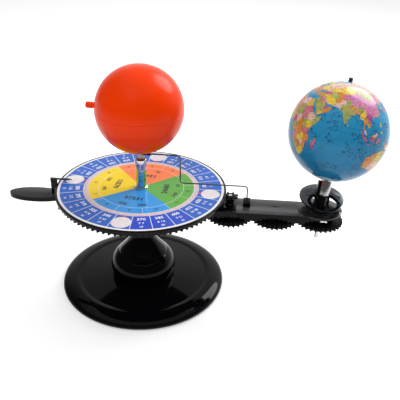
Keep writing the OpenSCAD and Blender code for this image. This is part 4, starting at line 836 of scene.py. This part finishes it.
# %% Countries, as places of one colour
PALETTE = {"peach": (0.84, 0.58, 0.50), "yellow": (0.84, 0.62, 0.06), "rose": (0.70, 0.20, 0.34),
           "olive": (0.33, 0.42, 0.11), "amber": (0.74, 0.26, 0.03), "magenta": (0.56, 0.10, 0.30),
           "leaf": (0.36, 0.48, 0.11), "ice": (0.34, 0.55, 0.72), "mauve": (0.66, 0.20, 0.50)}
COUNTRIES = [(PALETTE[colour], spots) for colour, spots in listed("""
    peach 40,56 45,63 60,58 60,66 75,62 90,60 90,70 105,58 105,68 120,58 120,68 135,60 135,70
    150,64 165,66 178,67 160,56 134,49 44,48 50,53 -175,66 143,50 60,74; yellow 50,49 60,48.5
    68,47.5 76,47.5 80,48 68,51 75,52; leaf 57,40 61,39; amber 63,43 66,40; rose 72,39 75,41.5;
    mauve 80,41 85,40 90,36 85,32 95,33 100,37 105,32 103,26 110,30 112,38 117,33 115,27 120,45
    127,46 112,24 118,41 122,50 88,45 95,41 110,19; olive 95,48 105,46 112,46; olive 77,28 73,25.5
    80,22 76,16 79,12 86,24 78,32 94,26; amber 84,28.3 90,23.5; peach 67,28 71,32.5 66,26; amber
    65,34; yellow 52,33 58,33 48,36 56,29 46,38; rose 43,33.5 45,31; leaf 45,24 40,27 47,20 43,20;
    yellow 46,15.5; amber 56.5,21 54,18.5; magenta 54,23.5; amber 32,39 40,39; olive 37.5,34
    37,31.5; magenta 45,41.5; yellow 96,21 97,25 96,17; amber 101,16 99.5,13 99,9; magenta
    104,19.5 106,16 108,12.5 105.5,21.5; leaf 104.8,12.7; peach 102,4 114,3.5; magenta 102,-1 98,2
    113.5,-1 108,-7.5; rose 121,-2 137,-4; yellow 144,-6; yellow 122,16 125,8; magenta 137,36
    141,39 143,43.5 131,32.5; leaf 127,40; yellow 128,36.5; leaf 80.7,7.5; yellow 121,24; amber
    121,-26 118,-31 125,-19; yellow 133,-20 133,-14; peach 134,-29; leaf 144,-22 143,-15; amber
    147,-32 145,-36.8; rose 146.5,-42 175,-38 170,-44; yellow 29,26 33,30; peach 17,27 22,29; rose
    30,17 30,11; leaf 18,15 17,19; amber 9,17 13,20; yellow 8,9; rose 3,28 0,33 6,24; leaf -6,32
    -3,34; peach -3,18; amber 9,34; yellow -10,20 -13,25; rose -12,12; leaf -6,8; amber -1,8
    -14,15; magenta 12.5,5; peach 21,7; leaf 14,-1; peach 39,8 41,11 38,13; leaf 46,5 49,9;
    magenta 38,16; yellow 38,0.5 37,2; leaf 32,1.5; amber 24,-3 21,-6 26,2 26,-9; magenta 35,-6;
    yellow 26.5,-14 30,-12; amber 37.5,-14 34.5,-18 33,-23.5; rose 17,-12; peach 30,-19; leaf
    17,-21 17,-26; amber 23.5,-22.5; yellow 23,-30 28,-27 20,-32.5; magenta 47,-19 46,-23; amber
    -4,40; leaf -8,39.5; rose 2,47; yellow 10,51; leaf 12,43 15,40.5; magenta 19,52; yellow 31,49
    36,48.5; rose 20,43.5; amber 22,39; amber 25,46; leaf 26.5,55.5; yellow 26,63; rose 16,62;
    leaf 8,61 14,66.5; magenta -2,53 -4,57; leaf -8,53; yellow -18,65; yellow -152,64 -145,67
    -158,60; rose -120,60 -105,58 -90,53 -75,52 -65,53 -125,52 -130,66 -110,66 -78,48 -75,60
    -75,70 -75,80 -110,71 -95,65; olive -120,42 -110,38 -100,40 -90,36 -80,36 -98,32 -85,32 -95,45
    -75,43 -70,45 -113,46 -87,42; amber -102,24 -107,28 -99,19 -90,20; yellow -90,15; leaf -85,13;
    rose -79,21.5 -73,4; leaf -66,7 -70,19; amber -59,5; magenta -55,4; leaf -78,-1; yellow -60,-5
    -50,-8 -45,-15 -53,-23 -40,-8 -65,-8 -55,-14; amber -75,-8 -73,-14; rose -65,-17; leaf
    -58,-23; peach -65,-28 -66,-35 -68,-42 -69,-50 -61,-34; magenta -71.5,-28 -73,-38 -74,-46;
    leaf -56,-32.5; ice -42,72 -45,65 -35,80 -60,80 20,79 0,-80 60,-75 120,-75 180,-80 -120,-80
    -60,-78 -65,-68 90,-70 150,-72
""")]


def unit_place(longitude, latitude):
    lon, lat = radians(longitude), radians(latitude)
    return Vector((cos(lat) * cos(lon), cos(lat) * sin(lon), sin(lat)))


places = [(unit_place(*spot), country) for country, (_, spots) in enumerate(COUNTRIES)
          for spot in spots]
nearest = kdtree.KDTree(len(places))
for i, (spot, _) in enumerate(places):
    nearest.insert(spot, i)
nearest.balance()
print("countries:", len(COUNTRIES), "with", len(places), "places")

# %% [markdown]
# ### Rolling the lands onto the sphere
# The flat map is cut along a fine net of lines, so each small field lies close to the sphere once
# it is rolled on. Between two countries runs the plane that is equally far from both places;
# cutting the fields by it makes each border a clean line. Every country is then inset by a hair,
# and the thin strip gets a dark colour: coast and border line in one. The colours are stored on
# the mesh as an attribute that the finish reads, so they stay sharp at any distance.

# %% Lands
FIELD, LAND_LIFT = 1.25, 0.07
lands = bmesh.new()
for name, coast in COASTS.items():
    flat = bmesh.new()
    flat.faces.new([flat.verts.new((lon, lat, 0)) for lon, lat in coast])
    bmesh.ops.triangulate(flat, faces=flat.faces[:], ngon_method="EAR_CLIP")
    for values, across in zip(zip(*coast), (Vector((1, 0, 0)), Vector((0, 1, 0)))):
        cut = (min(values) // FIELD + 1) * FIELD
        while cut < max(values):
            bmesh.ops.bisect_plane(flat, geom=flat.verts[:] + flat.edges[:] + flat.faces[:],
                                   dist=1e-6, plane_co=across * cut, plane_no=across)
            cut += FIELD
    if sum(f.normal.z for f in flat.faces) < 0:
        bmesh.ops.reverse_faces(flat, faces=flat.faces[:])
    part = bpy.data.meshes.new("part")
    flat.to_mesh(part)
    flat.free()
    lands.from_mesh(part)
    bpy.data.meshes.remove(part)
for vert in lands.verts:
    vert.co = unit_place(vert.co.x, vert.co.y)
print("fields of land:", len(lands.faces))

# %% Borders
unsettled, settled = {}, set()


def note(face):
    """Files a field under each pair of countries whose border may cross it."""
    owners = {nearest.find(v.co)[1] for v in face.verts}
    owners.add(nearest.find(face.calc_center_median())[1])
    for pair in combinations(sorted(owners), 2):
        if places[pair[0]][1] != places[pair[1]][1] and pair not in settled:
            unsettled.setdefault(pair, set()).add(face)


for face in lands.faces:
    note(face)
while unsettled:
    pair, crossed = unsettled.popitem()
    settled.add(pair)
    crossed = [f for f in crossed if f.is_valid]
    geometry = {v for f in crossed for v in f.verts} | {e for f in crossed for e in f.edges}
    parts = bmesh.ops.bisect_plane(lands, geom=list(geometry) + crossed, dist=1e-6,
                                   plane_co=(0, 0, 0),
                                   plane_no=places[pair[0]][0] - places[pair[1]][0])["geom"]
    for part in parts:
        if isinstance(part, bmesh.types.BMFace):
            note(part)
print("borders cut:", len(settled))

# %% Colours of the lands
BORDER, BORDER_SHADE = 0.0022, 0.35
tint = lands.loops.layers.float_color.new("land_colour")
states = {}
for face in lands.faces:
    owner = places[nearest.find(face.calc_center_median())[1]][1]
    states.setdefault(owner, []).append(face)


def dye(faces, colour, share=1.0):
    for face in faces:
        for loop in face.loops:
            loop[tint] = (*(c * share for c in colour), 1)


for country, faces in states.items():
    colour = COUNTRIES[country][0]
    dye(faces, colour)
    strip = bmesh.ops.inset_region(lands, faces=faces, thickness=BORDER, use_boundary=True,
                                   use_even_offset=True)["faces"]
    dye(strip, colour, BORDER_SHADE)
for vert in lands.verts:
    vert.co = (globe_turn @ (vert.co.normalized() * (GLOBE_R + LAND_LIFT)) + CENTRE) * MM
print("fields with their borders:", len(lands.faces))


def land_finish():
    f = Finish("globe_lands")
    own, net = net_over(f)
    colour = f.node("ShaderNodeAttribute", {"attribute_name": "land_colour"}, out="Color")
    relief = f.grain(150, 5, own)
    tints = f.ramp(f.grain(95, 3, own), 0.42, 0.62, 0.0, 0.32)
    shade = f.blend(tints, colour, (0.72, 0.42, 0.16))
    shade = f.blend(relief * 0.25, shade, (0.55, 0.40, 0.25), "MULTIPLY")
    shade = f.blend(small_print(f, own) * 0.5, shade, (0.05, 0.03, 0.04))
    shade = f.blend(net * 0.12, shade, NET_INK)
    return f.surface(shade, relief * 0.08 + 0.16, Normal=f.bump(relief, 0.00002),
                     Specular_IOR_Level=0.2, Coat_Weight=0.15, Coat_Roughness=0.12)


keep("globe_lands", lands, "globe", "globe_print", land_finish(), sharp=180)

# %% [markdown]
# ### Sea routes
# A few thin dark lines cross the ocean, as ships' routes do on such a map. Each follows the great
# circle between its ports, drawn as a round thread sunk in the print so that only its back shows.

# %% Routes
ROUTES = [[(57.8, -19.2), (76.9, -4.9), (87.4, -12.1)], [(44, -33), (57.8, -19.2)],
          [(74.4, 12.2), (76.9, -4.9)], [(79, 5.5), (95.3, 5.4)], [(52, 12), (72, 17.5)],
          [(33.6, -37), (55.1, -28.1), (57.8, -19.2)], [(73.1, -28.6), (89.4, -18.2), (105, -8.5)],
          [(80.9, -39.7), (95.6, -34.3), (115, -33)], [(107.5, -10.5), (113, -22)],
          [(112.1, -9.7), (127.0, -1.2)], [(46, -8), (58, -5), (72, 10)],
          [(-10, 44), (-30, 42), (-50, 43)], [(-74, 39), (-45, 20), (-20, 0), (-5, -25), (17, -35)],
          [(-120, 33), (-150, 22), (-180, 10)], [(-80, 7), (-110, 0), (-150, -17), (175, -36)]]
THREAD, ROUTE_STEP = 0.11, 3.0
threads = []
for ports in ROUTES:
    path = []
    for start, end in zip(ports, ports[1:]):
        a, b = unit_place(*start), unit_place(*end)
        count = max(2, round(degrees(a.angle(b)) / ROUTE_STEP))
        path += [a.slerp(b, i / count) for i in range(count + 1)][bool(path):]
    threads.append([globe_turn @ (spot * GLOBE_R) + CENTRE for spot in path])
routes = drawn("routes", threads, THREAD, 1, False)
route_ink = plain("route_ink", (0.008, 0.05, 0.15), (0.012, 0.07, 0.19), 0.3, 300.0, 0.00001)
keep("sea_routes", routes, "globe", "globe_print", route_ink)

# %% [markdown]
# ## What keeps its measured shape
# Washers, bushes, the shafts and the belt are small or hidden and their solids are right as they
# are. Each still gets a real finish.

# %% Finishes of the measured solids
FINISH_OF = {"black_enamel": enamel, "felt": felt, "steel": steel, "brass": brass,
             "black_plastic": moulding, "chrome": chrome, "red_plastic": red_gloss,
             "rubber": rubber, "dark_wire": dark_wire, "white_plastic": white_gloss}
for name, solid in frame["nodes"].items():
    if not solid.hide_render:
        solid.data.materials.clear()
        solid.data.materials.append(FINISH_OF[SLOT_OF[name]])
print("measured solids shown:", [n for n, s in frame["nodes"].items() if not s.hide_render])

# %% [markdown]
# ## Floor and light
# A pale floor and a pale surround that is brighter behind the object than before it, as in a
# studio with its lamps at the back and a soft panel overhead. One broad soft lamp stands behind
# on the right, and a second, which leaves no mark in the gloss, fills the front. Polished black
# shows little but what it reflects, so the surround matters more than the lamps. To the camera
# and in the gloss the floor glows a little, which keeps it white out to the corners while the
# object's shadow stays.

# %% Floor
FLOOR_REACH, FLOOR_COLOUR, FLOOR_GLOW = 3.0, (0.93, 0.93, 0.93), (0.30, 0.30, 0.30)
floor_mesh = bmesh.new()
bmesh.ops.create_grid(floor_mesh, x_segments=1, y_segments=1, size=FLOOR_REACH)
floor_data = bpy.data.meshes.new("floor")
floor_mesh.to_mesh(floor_data)
floor_mesh.free()
floor = bpy.data.objects.new("floor", floor_data)
bpy.context.scene.collection.objects.link(floor)
pale = Finish("pale_floor")
seen = pale.node("ShaderNodeLightPath", out="Is Camera Ray")
rays = seen.socket.node.outputs
seen = seen + Wire(pale, rays["Is Glossy Ray"]) + Wire(pale, rays["Is Transmission Ray"])
glow = pale.blend(seen.math("MINIMUM", 1.0), (0.0, 0.0, 0.0), FLOOR_GLOW)
floor_data.materials.append(pale.surface(FLOOR_COLOUR, 0.6, Emission_Color=glow,
                                         Emission_Strength=1.0))

# %% World
FRONT_LIGHT, BACK_LIGHT, LID_LIGHT, OVERHEAD_LIGHT = 0.14, 1.10, 0.3, 0.75
world = bpy.data.worlds.new("surround")
bpy.context.scene.world = world
world.use_nodes = True


class Surround(Finish):
    """The world's own circuit, whose place is a direction."""

    def __init__(self, world):
        self.tree = world.node_tree
        self.tree.nodes.clear()
        self.place = self.node("ShaderNodeTexCoord", out="Generated")


studio = Surround(world)
sideways, ahead, height = studio.split(studio.place)
wall = studio.ramp(ahead * 0.94 + sideways * 0.34, 0.1, 0.95, FRONT_LIGHT, BACK_LIGHT, "SMOOTHSTEP")
lid = studio.ramp(height, 0.5, 0.95, 1.0, LID_LIGHT, "SMOOTHSTEP")
panel = studio.ramp(height, 0.62, 0.88, 0.0, OVERHEAD_LIGHT, "SMOOTHSTEP")
glow = studio.node("ShaderNodeBackground", {}, {"Color": (1, 1, 1, 1),
                                                "Strength": wall * lid + panel})
world_out = studio.tree.nodes.new("ShaderNodeOutputWorld")
studio.tree.links.new(glow.socket, world_out.inputs["Surface"])
print("the surround runs from", FRONT_LIGHT, "in front to", BACK_LIGHT, "behind")


# %% Lamps
def lamp(name, place, aim, size, power, in_gloss=True):
    light = bpy.data.lights.new(name, "AREA")
    light.shape, light.size, light.energy = "DISK", size, power
    holder = bpy.data.objects.new(name, light)
    holder.location = place
    holder.rotation_euler = (Vector(aim) - Vector(place)).to_track_quat("-Z", "Y").to_euler()
    holder.visible_glossy = in_gloss
    bpy.context.scene.collection.objects.link(holder)


AIM = (0.08, 0.0, 0.15)
lamp("key", (0.76, 0.66, 0.95), AIM, 0.85, 12.5)
lamp("fill", (-0.30, -0.80, 1.12), AIM, 0.8, 7.0, in_gloss=False)
bpy.context.scene.view_settings.view_transform = "Standard"

# %% The end
print("the scene is made")
